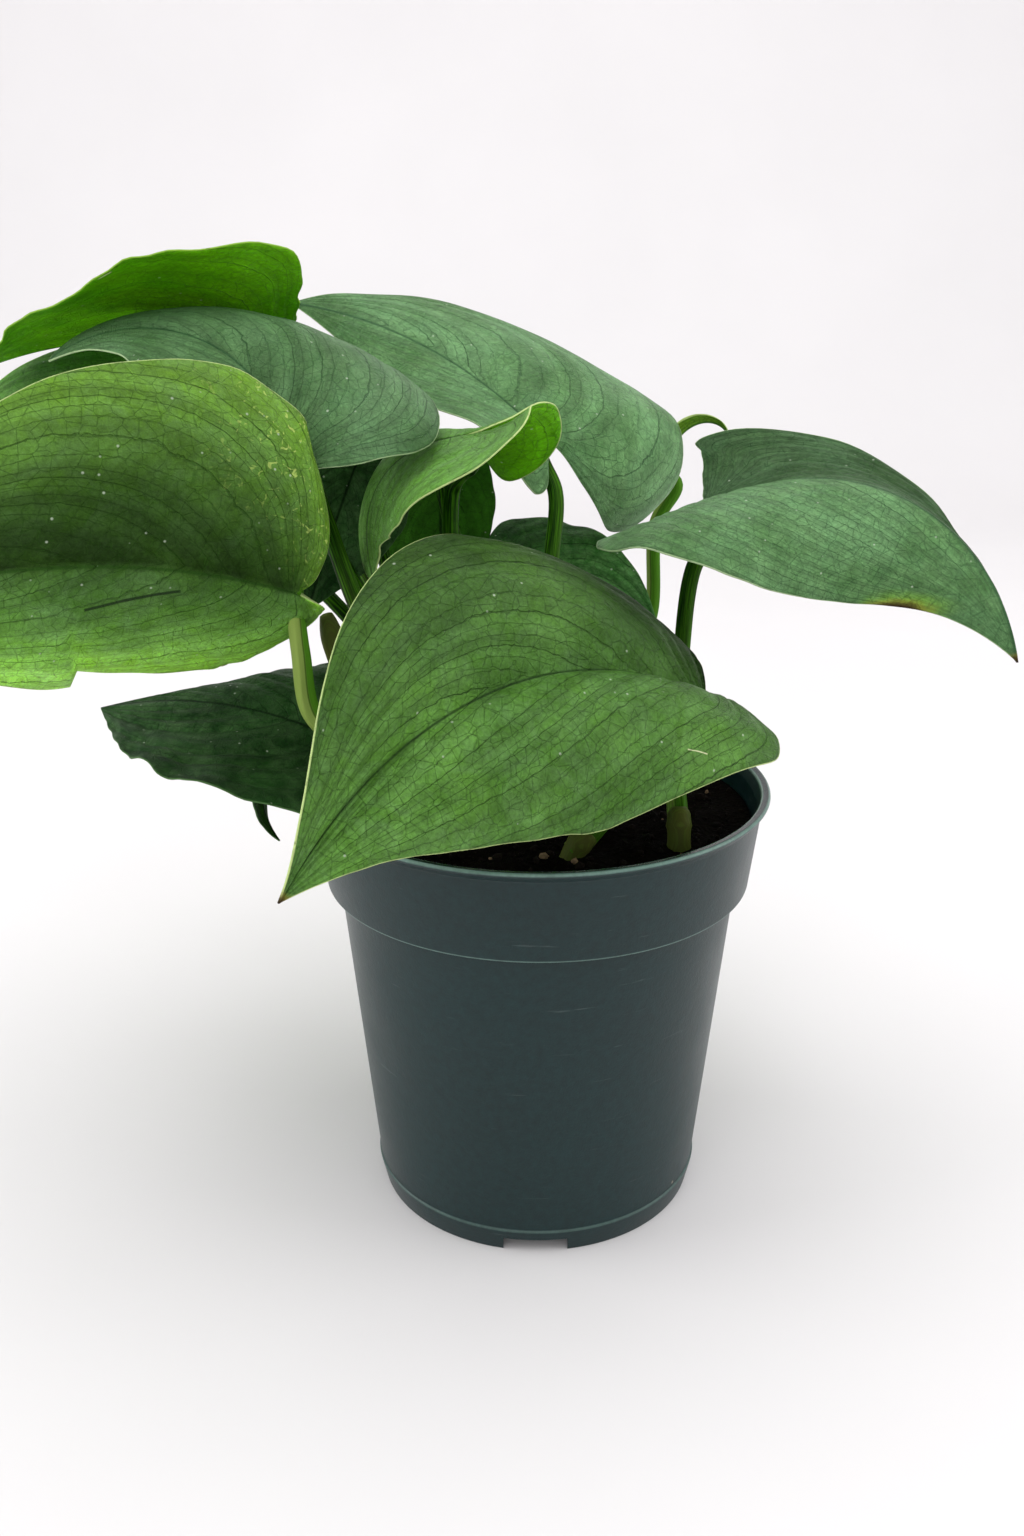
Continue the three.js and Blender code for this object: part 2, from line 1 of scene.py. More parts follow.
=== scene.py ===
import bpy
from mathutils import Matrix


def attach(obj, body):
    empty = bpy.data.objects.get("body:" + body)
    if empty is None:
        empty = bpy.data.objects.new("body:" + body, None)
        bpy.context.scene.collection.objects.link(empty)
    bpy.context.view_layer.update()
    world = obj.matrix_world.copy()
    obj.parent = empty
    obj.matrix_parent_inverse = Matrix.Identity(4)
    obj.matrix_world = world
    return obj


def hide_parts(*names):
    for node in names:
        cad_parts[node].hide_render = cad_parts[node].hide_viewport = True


bl_info = {
    "name": "Potted Scindapsus",
    "version": (1, 0, 0),
    "blender": (4, 5, 0),
    "location": "3D View > Sidebar > Plant",
    "description": "Leaves, shoots, potting mix and nursery pot of a young scindapsus",
    "category": "Add Mesh",
}

import math

import bpy
import numpy as np

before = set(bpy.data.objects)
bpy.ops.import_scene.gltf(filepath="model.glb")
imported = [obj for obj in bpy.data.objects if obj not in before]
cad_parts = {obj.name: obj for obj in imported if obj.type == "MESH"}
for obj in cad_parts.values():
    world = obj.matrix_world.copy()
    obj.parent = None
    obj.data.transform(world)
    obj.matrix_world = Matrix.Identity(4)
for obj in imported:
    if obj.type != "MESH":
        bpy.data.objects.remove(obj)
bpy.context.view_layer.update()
MM = 0.001

# Sizes that the settings leave alone, in millimetres.
FLOOR_UNDERSIDE = 5.4
FLOOR_TOP = 7.0
FOOT_TOP = 6.1
COLLAR_TOP_RADIUS = 52.3
NOTCHES = 3
NOTCH = (8.0, 15.0, 7.2)
HOLES = 8
HOLE_RADIUS = 3.5
HOLE_CIRCLE = 26.0
SOIL_TOP = 96.0
SOIL_GAP = 0.42

# The camera, in metres and degrees.
CAMERA_PLACE = (0.0, -0.3196, 0.2217)
CAMERA_TURN = (70.11, 0.08, 1.05)

# Each leaf, in millimetres and degrees: where the stalk joins it, the heading and pitch of its rib,
# how they change along it, roll and twist, widths, lobes and widest places of the two halves, the
# angle of the halves to the rib at the stalk and the tip, how far each half curls from its rib to
# its margin, how the lobes bend, the wave of the margin (height, count, phase), and the look.
LEAVES = [
    dict(name="leaf_front", at=(36, -19.5, 128), heading=212, pitch=36, droop=-100, tipDroop=13,
         turn=12, roll=14, twist=79, length=117, left=36.5, right=44, lobeLeft=4, lobeRight=1,
         widestLeft=0.33, widestRight=0.18, fold=38, tipFold=37, curlLeft=-87, curlRight=-93,
         lobeLift=1, wave=(0, 0, 0), look="green"),
    dict(name="leaf_left", at=(-50, -26.5, 153.5), heading=212, pitch=22, droop=-39, tipDroop=0,
         turn=0, roll=105, twist=8, length=104, left=39, right=43, lobeLeft=29, lobeRight=10,
         widestLeft=0.11, widestRight=0.13, fold=-20, tipFold=19, curlLeft=-33, curlRight=-42,
         lobeLift=-71, wave=(1.2, 2.5, 0.1), look="green"),
    dict(name="leaf_top_left", at=(-65.5, 58, 196), heading=187, pitch=14, droop=-36, tipDroop=0,
         turn=-23, roll=-23, twist=38, length=83, left=43, right=38.5, lobeLeft=3, lobeRight=18,
         widestLeft=0.24, widestRight=0.12, fold=28, tipFold=7, curlLeft=-15, curlRight=-15,
         lobeLift=-6, wave=(1, 3, 0.3), look="bright"),
    dict(name="leaf_middle_left", at=(-52, -5.5, 176), heading=113, pitch=50, droop=-36,
         tipDroop=-50, turn=79, roll=28, twist=-8, length=82.5, left=29, right=41.5, lobeLeft=15.5,
         lobeRight=6, widestLeft=0.12, widestRight=0.32, fold=35, tipFold=-2, curlLeft=-20,
         curlRight=-100, lobeLift=0, wave=(0, 0, 0), look="blue_green"),
    dict(name="leaf_far_left", at=(-84, 47, 167), heading=170, pitch=32, droop=-51, tipDroop=-13,
         turn=-13, roll=29, twist=21, length=81, left=32, right=32, lobeLeft=22, lobeRight=22,
         widestLeft=0.12, widestRight=0.13, fold=11, tipFold=16, curlLeft=-15, curlRight=-18,
         lobeLift=0, wave=(1.5, 2, 0.2), look="light"),
    dict(name="leaf_top", at=(0, 45.5, 177.5), heading=129, pitch=28, droop=-5, tipDroop=-17,
         turn=37, roll=7, twist=41, length=86, left=20.5, right=48.5, lobeLeft=15, lobeRight=31.5,
         widestLeft=0.17, widestRight=0.08, fold=22, tipFold=-19, curlLeft=-7, curlRight=-57,
         lobeLift=-75, wave=(0, 0, 0), look="blue_green"),
    dict(name="leaf_curled", at=(-16.5, 1.5, 182), heading=173, pitch=-5, droop=-85, tipDroop=-32,
         turn=-48, roll=10, twist=79, length=48.5, left=23.5, right=34, lobeLeft=19.5,
         lobeRight=15.5, widestLeft=0.16, widestRight=0.02, fold=-4, tipFold=2, curlLeft=1,
         curlRight=-76, lobeLift=55, wave=(0, 0, 0), look="green"),
    dict(name="leaf_hanging", at=(-25.5, 56, 166), heading=95, pitch=-68, droop=-20, tipDroop=0,
         turn=0, roll=5, twist=0, length=50, left=20, right=14.5, lobeLeft=8, lobeRight=8,
         widestLeft=0.14, widestRight=0.14, fold=10, tipFold=10, curlLeft=-30, curlRight=-30,
         lobeLift=10, wave=(0, 0, 0), look="dark"),
    dict(name="leaf_back_right", at=(-8.5, 50, 140), heading=-8, pitch=-20, droop=-18, tipDroop=13,
         turn=9, roll=-47, twist=-23, length=47, left=27, right=26, lobeLeft=8.5, lobeRight=14,
         widestLeft=0.15, widestRight=0.12, fold=-7, tipFold=16, curlLeft=-28, curlRight=-15,
         lobeLift=2, wave=(1, 3, 0), look="dark"),
    dict(name="leaf_right", at=(38, 14, 164.5), heading=-24, pitch=32, droop=-86, tipDroop=-20,
         turn=-29, roll=-8, twist=7, length=92, left=23.5, right=44, lobeLeft=1, lobeRight=19,
         widestLeft=0, widestRight=0.05, fold=22, tipFold=-65, curlLeft=26, curlRight=-30,
         lobeLift=16, wave=(0, 0, 0), look="blue_green"),
    dict(name="leaf_lower_left", at=(-48, 2, 112.5), heading=172, pitch=25, droop=-54, tipDroop=13,
         turn=-12, roll=36, twist=-34, length=62, left=37.5, right=31.5, lobeLeft=12, lobeRight=12,
         widestLeft=0.24, widestRight=0.3, fold=10, tipFold=-19, curlLeft=35, curlRight=-48,
         lobeLift=7, wave=(1.2, 4, 0.2), look="dark"),
    dict(name="leaf_young", at=(32.5, 77.5, 162.5), heading=8, pitch=72, droop=0, tipDroop=-150,
         turn=0, roll=0, twist=0, length=29, left=3.2, right=3.2, lobeLeft=1, lobeRight=1,
         widestLeft=0.3, widestRight=0.3, fold=60, tipFold=40, curlLeft=60, curlRight=60,
         lobeLift=0, wave=(0, 0, 0), look="light"),
    dict(name="leaf_low_hook", at=(-59, 18, 107), heading=172, pitch=-25, droop=-105, tipDroop=0,
         turn=0, roll=0, twist=0, length=33, left=7, right=7, lobeLeft=3, lobeRight=3,
         widestLeft=0.2, widestRight=0.2, fold=20, tipFold=20, curlLeft=-40, curlRight=-40,
         lobeLift=0, wave=(0, 0, 0), look="dark"),
    dict(name="leaf_behind", at=(-94, 126, 180.5), heading=5, pitch=22, droop=-25, tipDroop=0,
         turn=0, roll=20, twist=0, length=45, left=17, right=17, lobeLeft=9.5, lobeRight=9.5,
         widestLeft=0.15, widestRight=0.15, fold=12, tipFold=5, curlLeft=-25, curlRight=-25,
         lobeLift=0, wave=(0.6, 2, 0), look="blue_green"),
    dict(name="leaf_rear", at=(6, 68, 114), heading=92, pitch=22, droop=-85, tipDroop=0, turn=5,
         roll=-8, twist=10, length=80, left=32, right=34, lobeLeft=14, lobeRight=13,
         widestLeft=0.13, widestRight=0.15, fold=16, tipFold=4, curlLeft=-30, curlRight=-35,
         lobeLift=-10, wave=(1.2, 2.5, 0.4), look="green"),
    dict(name="leaf_rear_left", at=(-36, 50, 108), heading=122, pitch=12, droop=-90, tipDroop=0,
         turn=-8, roll=6, twist=-6, length=72, left=27, right=27, lobeLeft=13, lobeRight=13,
         widestLeft=0.12, widestRight=0.14, fold=18, tipFold=6, curlLeft=-30, curlRight=-25,
         lobeLift=0, wave=(1, 3, 0.1), look="blue_green"),
    dict(name="leaf_rear_low", at=(30, 60, 101), heading=64, pitch=-15, droop=-75, tipDroop=0,
         turn=6, roll=12, twist=0, length=60, left=22, right=23, lobeLeft=10, lobeRight=11,
         widestLeft=0.13, widestRight=0.13, fold=15, tipFold=5, curlLeft=-30, curlRight=-30,
         lobeLift=0, wave=(1, 3, 0.3), look="green"),
    dict(name="leaf_shaded", at=(-44, 32, 171.5), heading=205, pitch=-66, droop=-5, tipDroop=0,
         turn=0, roll=70, twist=0, length=37, left=16, right=14, lobeLeft=5, lobeRight=5,
         widestLeft=0.2, widestRight=0.2, fold=14, tipFold=5, curlLeft=-25, curlRight=-25,
         lobeLift=0, wave=(0.5, 2, 0), look="dark"),
]

# Each shoot: the points of its vine stem, and of each leaf stalk that grows from it.
SHOOTS = [
    dict(name="shoot_left",
         stem=[(-20, -6, 84), (-23, -5, 99), (-35, -3, 118), (-44, -4, 132), (-47, -6, 144)],
         stalks=[
             dict(leaf="leaf_left", points=[(-34, -4, 116), (-43, -10, 116), (-50, -15, 124),
                  (-51, -20, 140)]),
             dict(leaf="leaf_lower_left", points=[(-24, -4, 101), (-34, 3, 102), (-43, 6, 105)]),
             dict(leaf="leaf_low_hook", points=[(-23, -3, 100), (-36, 13, 104), (-49, 17, 109)]),
         ]),
    dict(name="shoot_centre",
         stem=[(-14, 4, 84), (-15, 4, 99), (-19, 3, 112)],
         stalks=[
             dict(leaf="leaf_top_left", points=[(-16, 4, 104), (-30, -3, 124), (-40, 0, 142.5),
                  (-48, 7, 163), (-58, 28, 184)]),
             dict(leaf="leaf_middle_left", points=[(-16, 4, 103), (-33, 14, 130), (-47, 10, 156)]),
         ]),
    dict(name="shoot_back",
         stem=[(0, 14, 84), (0, 15, 99), (1, 16, 112)],
         stalks=[
             dict(leaf="leaf_top", points=[(0, 15, 104), (2, 20, 132), (3, 30, 148.5),
                  (4, 38, 164)]),
             dict(leaf="leaf_curled", points=[(0, 15, 103), (-14, 10, 128), (-20, 14, 153),
                  (-20, 18, 168)]),
             dict(leaf="leaf_hanging", points=[(0, 16, 106), (-12, 34, 132), (-22, 50, 152)]),
             dict(leaf="leaf_back_right", points=[(1, 16, 104), (0, 32, 118), (-8, 50, 130)]),
         ]),
    dict(name="shoot_front",
         stem=[(6, -30, 84), (8, -29, 97), (12, -28, 102)],
         stalks=[
             dict(leaf="leaf_front", points=[(8, -29, 97), (15, -27, 105), (25, -22, 117)]),
         ]),
    dict(name="shoot_right",
         stem=[(31.5, -22, 84), (31.5, -22, 97), (31.5, -19, 104)],
         stalks=[
             dict(leaf="leaf_right", points=[(31.5, -21, 99), (31, -6, 113), (33, 6, 130),
                  (35.5, 12, 150)]),
         ]),
    dict(name="shoot_rear",
         stem=[(8, 33, 84), (8, 35, 98), (7, 39, 109)],
         stalks=[
             dict(leaf="leaf_young", points=[(8, 36, 101), (19, 55, 109), (31, 74, 124),
                  (32, 78, 149)]),
             dict(leaf="leaf_rear", points=[(8, 36, 101), (7, 50, 110), (6, 60, 113)]),
             dict(leaf="leaf_rear_low", points=[(9, 35, 99), (17, 43, 107), (25, 52, 107)]),
         ]),
    dict(name="shoot_rear_left",
         stem=[(-19, 27, 84), (-20, 28, 98), (-24, 31, 110)],
         stalks=[
             dict(leaf="leaf_rear_left", points=[(-21, 29, 101), (-29, 41, 108)]),
             dict(leaf="leaf_shaded", points=[(-22, 29, 104), (-34, 40, 132), (-41, 42, 155)]),
             dict(leaf="leaf_far_left", points=[(-20, 28, 99), (-44, 38, 128), (-70, 46, 152)]),
             dict(leaf="leaf_behind", points=[(-21, 29, 103), (-46, 60, 138), (-78, 104, 168)]),
         ]),
]

# What each leaf has of its own, and the plain values. Places and sizes are millimetres on the flat
# blade, shares run from the stalk to the tip, and a half is 1 for left and -1 for right.
# veins, sweep: side veins of a half, and how far they lean to the tip, as a share
# flutter, ragged: waves of the margin up and down, and in its own plane
# quilt: how high the fields between the veins stand, in hundredths of the length
# step: half, share and size of a step in the margin
# seed: of the leaf's own irregularities
# tint, halves, margin_shade: brightness of the blade, partly its own tone and partly painted
# light; painted light and shade on its left and right half; painted shade on its two margins
# rib_shade, ahead, under: painted shade along the rib, as in the hollow of a cupped blade, what
# the tip gains, brightness of the underside
# tone: the look of the blade, where it isn't that of its slot
# tip_burn, singe: scorch at the tip, and on a margin: half, place along, half length, depth
# flecks, glow: how strong the pale flecks are, and the yellow of the margin near the stalk:
# partly its own younger tissue, partly painted light where a cupped rim catches the light
# scar: two ends of a scratch or crease, 1 for a pale scratch or 0 for a crease in painted
# shade, and its width
# sheath, pale, groove: sheath round the stalk, how pale it is, and where its groove faces
PLAIN = dict(sweep=0.8, flutter=0.5, ragged=0.0, quilt=0.5, step=(0, 0.0, 0.0), tint=1.0,
             halves=(1.0, 1.0), margin_shade=(1.0, 1.0), rib_shade=1.0, ahead=0.0, under=1.0, tone=None,
             tip_burn=0.0, singe=(0, 0.0, 1.0, 1.0), flecks=0.0, glow=0.0,
             scar=(0.0, 99.0, 1.0, 99.0, 0, 1.0), sheath=0.0, pale=None, groove=None)
DETAILS = {
    "leaf_front": dict(veins=6, flutter=0.4, seed=1, tip_burn=3.5, tint=0.95, margin_shade=(1.0, 0.12),
                       ahead=0.32, scar=(23.5, 26.3, 19.0, 28.1, 1, 0.4)),
    "leaf_left": dict(veins=7, flutter=0.3, seed=2, flecks=1.0, glow=0.85, rib_shade=0.27, under=0.4,
                      halves=(3.0, 0.95), step=(1, 0.645, 6.0), tone="yellow_green", sheath=0.85,
                      groove=(0.45, -1.0, 0.0), scar=(24.0, 4.4, 43.0, 10.0, 0, 1.1)),
    "leaf_top_left": dict(veins=6, flutter=0.8, seed=3, ragged=1.3,
                          scar=(29.6, 40.6, 32.0, 40.2, 1, 1.0)),
    "leaf_middle_left": dict(veins=6, flutter=0.4, seed=4, tint=0.95),
    "leaf_far_left": dict(veins=6, flutter=0.9, seed=5),
    "leaf_top": dict(veins=6, flutter=0.6, seed=6, tint=1.28),
    "leaf_curled": dict(veins=6, flutter=0.4, seed=7, tint=1.55, under=0.9),
    "leaf_hanging": dict(veins=5, seed=8, tint=2.0),
    "leaf_back_right": dict(veins=6, flutter=0.7, seed=9, tint=1.5, quilt=1.1),
    "leaf_right": dict(veins=6, sweep=1.7, flutter=0.4, seed=10, tip_burn=3.0,
                       halves=(0.62, 1.26), singe=(-1, 68.0, 8.0, 3.6)),
    "leaf_lower_left": dict(veins=6, flutter=0.7, seed=11, ragged=0.4, tint=0.85, quilt=1.3),
    "leaf_young": dict(veins=4, flutter=0.0, seed=12, tint=0.65, pale=0.55),
    "leaf_low_hook": dict(veins=4, flutter=0.2, seed=13),
    "leaf_behind": dict(veins=5, flutter=0.6, seed=14),
    "leaf_rear": dict(veins=6, flutter=1.0, seed=15),
    "leaf_rear_left": dict(veins=6, flutter=0.9, seed=16, tip_burn=2.0),
    "leaf_rear_low": dict(veins=6, flutter=0.8, seed=17),
    "leaf_shaded": dict(veins=5, seed=18),
}

# Colours of a leaf by age and light: two tones of the upper face, two of the underside, veins,
# margin. The underside tones are bright partly as painted light shining through the blade. The
# first five are also slots of the record.
LOOKS = {
    "green": ("#406a22", "#53812f", "#57a004", "#6db80c", "#14300c", "#c6dc90"),
    "light": ("#4f8a2c", "#6a9f3e", "#5a9418", "#78a82c", "#2c5a1a", "#b5ce7c"),
    "bright": ("#41722c", "#4f8038", "#58ae02", "#72c406", "#2f6806", "#8ab83a"),
    "blue_green": ("#43693a", "#598053", "#57a004", "#6db80c", "#2b5430", "#b4cf9c"),
    # The dark look is a shaded copy: painted shade for leaves hanging behind and under the rest.
    "dark": ("#163a12", "#26501f", "#25500f", "#35641a", "#0a1e0a", "#4c6e40"),
    "yellow_green": ("#406a22", "#53812f", "#57a004", "#6db80c", "#284c14", "#c6dc90"),
}


def linear(code, alpha=1.0):
    """A linear colour from an sRGB hex code."""
    parts = [int(code[i:i + 2], 16) / 255 for i in (1, 3, 5)]
    return [c / 12.92 if c <= 0.04045 else ((c + 0.055) / 1.055) ** 2.4 for c in parts] + [alpha]


def add_node(tree, kind, inputs=None, out=None, **settings):
    """Adds a shader node, sets its properties, and sets each input to a value or links a socket to
    it. Returns the output asked for, or else the first one that its settings leave in use. Inputs
    go by name or place: Map Range takes 0 from the range 1 to 2 into the range 3 to 4, and a Mix
    of colours goes from 6 to 7 as 0 rises."""
    made = tree.nodes.new("ShaderNode" + kind)
    for key, value in settings.items():
        setattr(made, key, value)
    for key, value in (inputs or {}).items():
        if isinstance(value, bpy.types.NodeSocket):
            tree.links.new(value, made.inputs[key])
        else:
            made.inputs[key].default_value = value
    if out is not None:
        return made.outputs[out]
    return next((socket for socket in made.outputs if socket.enabled), made)


def new_material(name):
    """An empty node material, with its tree."""
    material = bpy.data.materials.new(name)
    material.use_nodes = True
    material.node_tree.nodes.clear()
    return material, material.node_tree


def add_piece(name, points, faces, material, nodes=(), attributes=None, smooth=True):
    """Makes a mesh object from points in millimetres and, unless its nodes are None, puts it on the
    root body.
    """
    mesh = bpy.data.meshes.new(name)
    mesh.from_pydata((np.asarray(points) * MM).tolist(), [], faces)
    for key, values in (attributes or {}).items():
        values = np.asarray(values, np.float32)
        kind, field = ("FLOAT", "value") if values.ndim == 1 else ("FLOAT_VECTOR", "vector")
        mesh.attributes.new(key, kind, "POINT").data.foreach_set(field, values.ravel())
    mesh.polygons.foreach_set("use_smooth", [smooth] * len(mesh.polygons))
    mesh.materials.append(material)
    mesh.validate()
    mesh.update()
    piece = bpy.data.objects.new(name, mesh)
    bpy.context.scene.collection.objects.link(piece)
    if nodes is None:
        return piece
    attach(piece, "root")
    if nodes:
        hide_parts(*nodes)
    return piece


def grid_faces(rows, columns, start=0, closed=False):
    """Quads over a grid of points, row by row. A closed grid joins its last column to its first."""
    row = np.arange(rows - 1)[:, None] * columns
    column = np.arange(columns if closed else columns - 1)[None]
    ahead = (column + 1) % columns
    quads = np.stack([row + column, row + ahead, row + columns + ahead, row + columns + column], -1)
    return (quads.reshape(-1, 4) + start).tolist()


def ring_faces(rows, sides):
    """Faces of a grid of rings, with a fan at each end to one of the two points after the grid."""
    count = rows * sides
    k = np.arange(sides)
    after = (k + 1) % sides
    fans = np.vstack([np.stack([0 * k + count, after, k], -1),
                      np.stack([0 * k + count + 1, count - sides + k, count - sides + after], -1)])
    quads = np.array(grid_faces(rows, sides, closed=True))
    return quads[:, ::-1].tolist() + fans[:, ::-1].tolist()


def bumps(share, seed, count, low, high):
    """A sum of count sine waves along a share from 0 to 1, each with a seeded number of waves
    between low and high, and about 1 high together."""
    rng = np.random.default_rng(seed)
    total = np.zeros_like(share)
    for _ in range(count):
        waves = rng.uniform(low, high)
        total += rng.uniform(0.4, 1.0) / math.sqrt(count) * np.sin(
            2 * math.pi * (waves * share + rng.uniform()))
    return total


# Leaves


def rib_frame(leaf, share):
    """Directions along, left of and above the rib. The heading is the first heading plus the turn
    times the share, the pitch is the first pitch plus droop times the share plus tip droop times
    its square, and the roll plus the twist times the share turns left and above about the rib."""
    heading = np.radians(leaf["heading"] + leaf["turn"] * share)
    pitch = np.radians(leaf["pitch"] + leaf["droop"] * share + leaf["tipDroop"] * share ** 2)
    roll = np.radians(leaf["roll"] + leaf["twist"] * share)[..., None]
    along = np.stack([np.cos(pitch) * np.cos(heading), np.cos(pitch) * np.sin(heading),
                      np.sin(pitch)], -1)
    level = np.stack([-np.sin(heading), np.cos(heading), np.zeros_like(heading)], -1)
    above = np.cross(along, level)
    return (along, level * np.cos(roll) - above * np.sin(roll),
            above * np.cos(roll) + level * np.sin(roll))


def rib_points(leaf, samples=80):
    """The rib: the running sum of its direction over equal steps."""
    along = rib_frame(leaf, (np.arange(samples) + 0.5) / samples)[0]
    steps = np.vstack([np.zeros(3), np.cumsum(along, 0)]) * leaf["length"] / samples
    return steps + np.array(leaf["at"])


def blade_points(leaf, rib, x, y, side):
    """Points of the bent blade from flat places, x along the rib and y across a half. Behind the
    stalk the lobes follow a round bend that sets in softly. Across, a half starts at the fold angle
    and its angle changes evenly up to the curl at its margin, and a sine wave grows with the square
    of y."""
    back = (np.hypot(x, 5) - x) / 2
    share = np.clip((x + back) / leaf["length"], 0, 1)
    place = share * (len(rib) - 1)
    index = np.minimum(place.astype(int), len(rib) - 2)
    part = (place - index)[..., None]
    point = rib[index] * (1 - part) + rib[index + 1] * part
    along, left, up = rib_frame(leaf, share)
    back = back[..., None]
    bend = np.radians(leaf["lobeLift"]) * back / 20
    bend = np.where(np.abs(bend) < 1e-6, 1e-6, bend)
    point = point - along * back * np.sin(bend) / bend + up * back * (1 - np.cos(bend)) / bend
    up = up * np.cos(bend) + along * np.sin(bend)
    width = np.where(side > 0, leaf["left"], leaf["right"])
    curl = np.radians(np.where(side > 0, leaf["curlLeft"], leaf["curlRight"]))
    fold = np.radians(leaf["fold"] * (1 - share) + leaf["tipFold"] * share)
    eta = y / width
    steps = (np.arange(8) + 0.5) / 8
    angle = fold[..., None] + (curl * eta)[..., None] * steps
    across = np.cos(angle).mean(-1) * y
    rise = np.sin(angle).mean(-1) * y
    height, count, phase = leaf["wave"]
    shift = np.where(side > 0, 0, 2)
    fade = np.clip(1.15 - share, 0, 1)
    wave = np.sin(2 * math.pi * (count * share + phase) + shift)
    rise = rise + height * np.minimum(eta, 1.2) ** 2 * wave * fade
    return point + left * (side * across)[..., None] + up * rise[..., None]


def margin_curve(leaf, side, t):
    """The margin of one half on the flat blade, from the stalk round the lobe to the tip: a smooth
    curve through nine places given as shares of the lobe, the length and the width."""
    end = "Left" if side > 0 else "Right"
    lobe, width = leaf["lobe" + end], leaf["left" if side > 0 else "right"]
    widest, length = leaf["widest" + end], leaf["length"]
    rest = 1 - widest
    shape = np.array([
        (0, 0), (-0.52 * lobe, 0.12), (-lobe, 0.42), (-0.7 * lobe + 0.1 * widest * length, 0.8),
        (widest * length, 1), ((widest + 0.27 * rest) * length, 0.91),
        ((widest + 0.57 * rest) * length, 0.63), ((widest + 0.82 * rest) * length, 0.27),
        (length, 0)])
    ends = np.vstack([shape[:1], shape, shape[-1:]])
    place = t * (len(shape) - 1)
    index = np.minimum(place.astype(int), len(shape) - 2)
    f = (place - index)[..., None]
    a, b, c, d = (ends[index + k] for k in range(4))
    curve = b + 0.5 * f * (c - a + f * (2 * a - 5 * b + 4 * c - d + f * (3 * (b - c) + d - a)))
    return curve[..., 0], np.maximum(curve[..., 1], 0) * width


def flat_places(leaf, detail, t, v, side):
    """Places on the flat blade, along and across, and their distance from the margin. A ray leaves
    the rib at t to the power of 1.6 and meets the margin at t, and v runs along it. The margin is
    ragged by a sum of waves. At a step it dips, jumps out, and eases back."""
    (right_x, right_y), (left_x, left_y) = (margin_curve(leaf, s, t) for s in (-1, 1))
    margin_x = np.where(side < 0, right_x, left_x)
    margin_y = np.where(side < 0, right_y, left_y)
    seed = detail["seed"]
    rag = np.where(side < 0, bumps(t, seed, 6, 5, 24), bumps(t, seed + 50, 6, 5, 24))
    rag = rag * (0.12 + detail["ragged"]) * np.sin(math.pi * np.clip(t * 1.02, 0, 1))
    step_side, step_at, step_size = detail["step"]
    off = t - step_at
    past = np.where(off < 0, -0.8 * np.exp(off / 0.05), np.exp(-np.maximum(off, 0) / 0.11))
    rag = rag + step_size * past * (side == step_side)
    start = leaf["length"] * t ** 1.6
    reach = np.hypot(margin_x - start, margin_y) + 1e-6
    scale = v * (1 + rag / np.maximum(reach, 6) * v)
    return start + (margin_x - start) * scale, margin_y * scale, (1 - v) * reach


def blade_normals(leaf, rib, x, y, v, side):
    """Points of the bent blade and their normals, from the steps to two close neighbours. On the
    rib the normal is the rib's own."""
    small = 0.3
    here = blade_points(leaf, rib, x, y, side)
    ahead = blade_points(leaf, rib, x + small, y, side) - here
    out = blade_points(leaf, rib, x, y + small, side) - here
    normal = np.cross(ahead, out) * side[..., None]
    up = rib_frame(leaf, np.clip(x / leaf["length"], 0, 1))[2]
    normal = np.where((v < 1e-9)[..., None], up, normal)
    return here, normal / np.maximum(np.linalg.norm(normal, axis=-1, keepdims=True), 1e-9)


def blade_marks(leaf, detail, x, y, edge, t, v, side):
    """What the material draws besides the veins: how scorched, flecked and yellow a place is, the
    yellow partly painted light, and its offset across and share along the line of a scratch, or of
    a crease drawn in painted shade."""
    burnt_tip = detail["tip_burn"]
    burn = np.clip(1 - (leaf["length"] - x) / max(burnt_tip, 0.01), 0, 1) * (burnt_tip > 0)
    singe_side, singe_at, singe_long, singe_deep = detail["singe"]
    singe = np.clip(1.2 - np.abs(x - singe_at) / singe_long, 0, 1) * (side == singe_side)
    burn = np.maximum(burn, singe * np.clip(1 - edge / singe_deep, 0, 1))
    fleck = detail["flecks"] * np.clip(-side, 0, 1) * np.clip(2.2 * v - 0.6, 0, 1)
    fleck = fleck * np.clip(1.5 - x / 18, 0, 1)
    # Painted light in part: a cupped blade's rim lighter and yellower towards the stalk.
    glow = detail["glow"] * np.clip(1.15 - t, 0, 1) * np.clip(v * 1.25 - 0.25, 0, 1) ** 1.5
    glow = np.maximum(glow, 1.1 * singe * np.clip(1 - edge / singe_deep / 1.5, 0, 1))
    x_one, y_one, x_two, y_two, pale, wide = detail["scar"]
    run = np.array([x_two - x_one, y_two - y_one])
    long = np.hypot(*run)
    off_x, off_y = x - x_one, y * side - y_one
    scar = np.stack([(off_x * run[1] - off_y * run[0]) / long / wide,
                     (off_x * run[0] + off_y * run[1]) / long ** 2, np.full_like(x, pale)], -1)
    return np.stack([burn, fleck, glow], -1), scar


def blade_tint_and_shade(detail, y, v, side, share):
    """Brightness: the leaf's own, partly painted light, times painted light and shade on the
    halves, painted shade along the rib and on the two margins towards the stalk, and the tip's
    gain."""
    left, right = detail["halves"]
    half_tint = right + (left - right) * np.clip(0.5 + y * side / 2, 0, 1)
    rib_shade = detail["rib_shade"]
    tint = detail["tint"] * half_tint * (rib_shade + (1 - rib_shade) * np.clip(1.3 * v, 0, 1) ** 1.5)
    left, right = detail["margin_shade"]
    tint = tint * (1 + (np.where(side > 0, left, right) - 1) * v * np.clip(1.25 - share, 0, 1))
    return tint * (1 + detail["ahead"] * share)


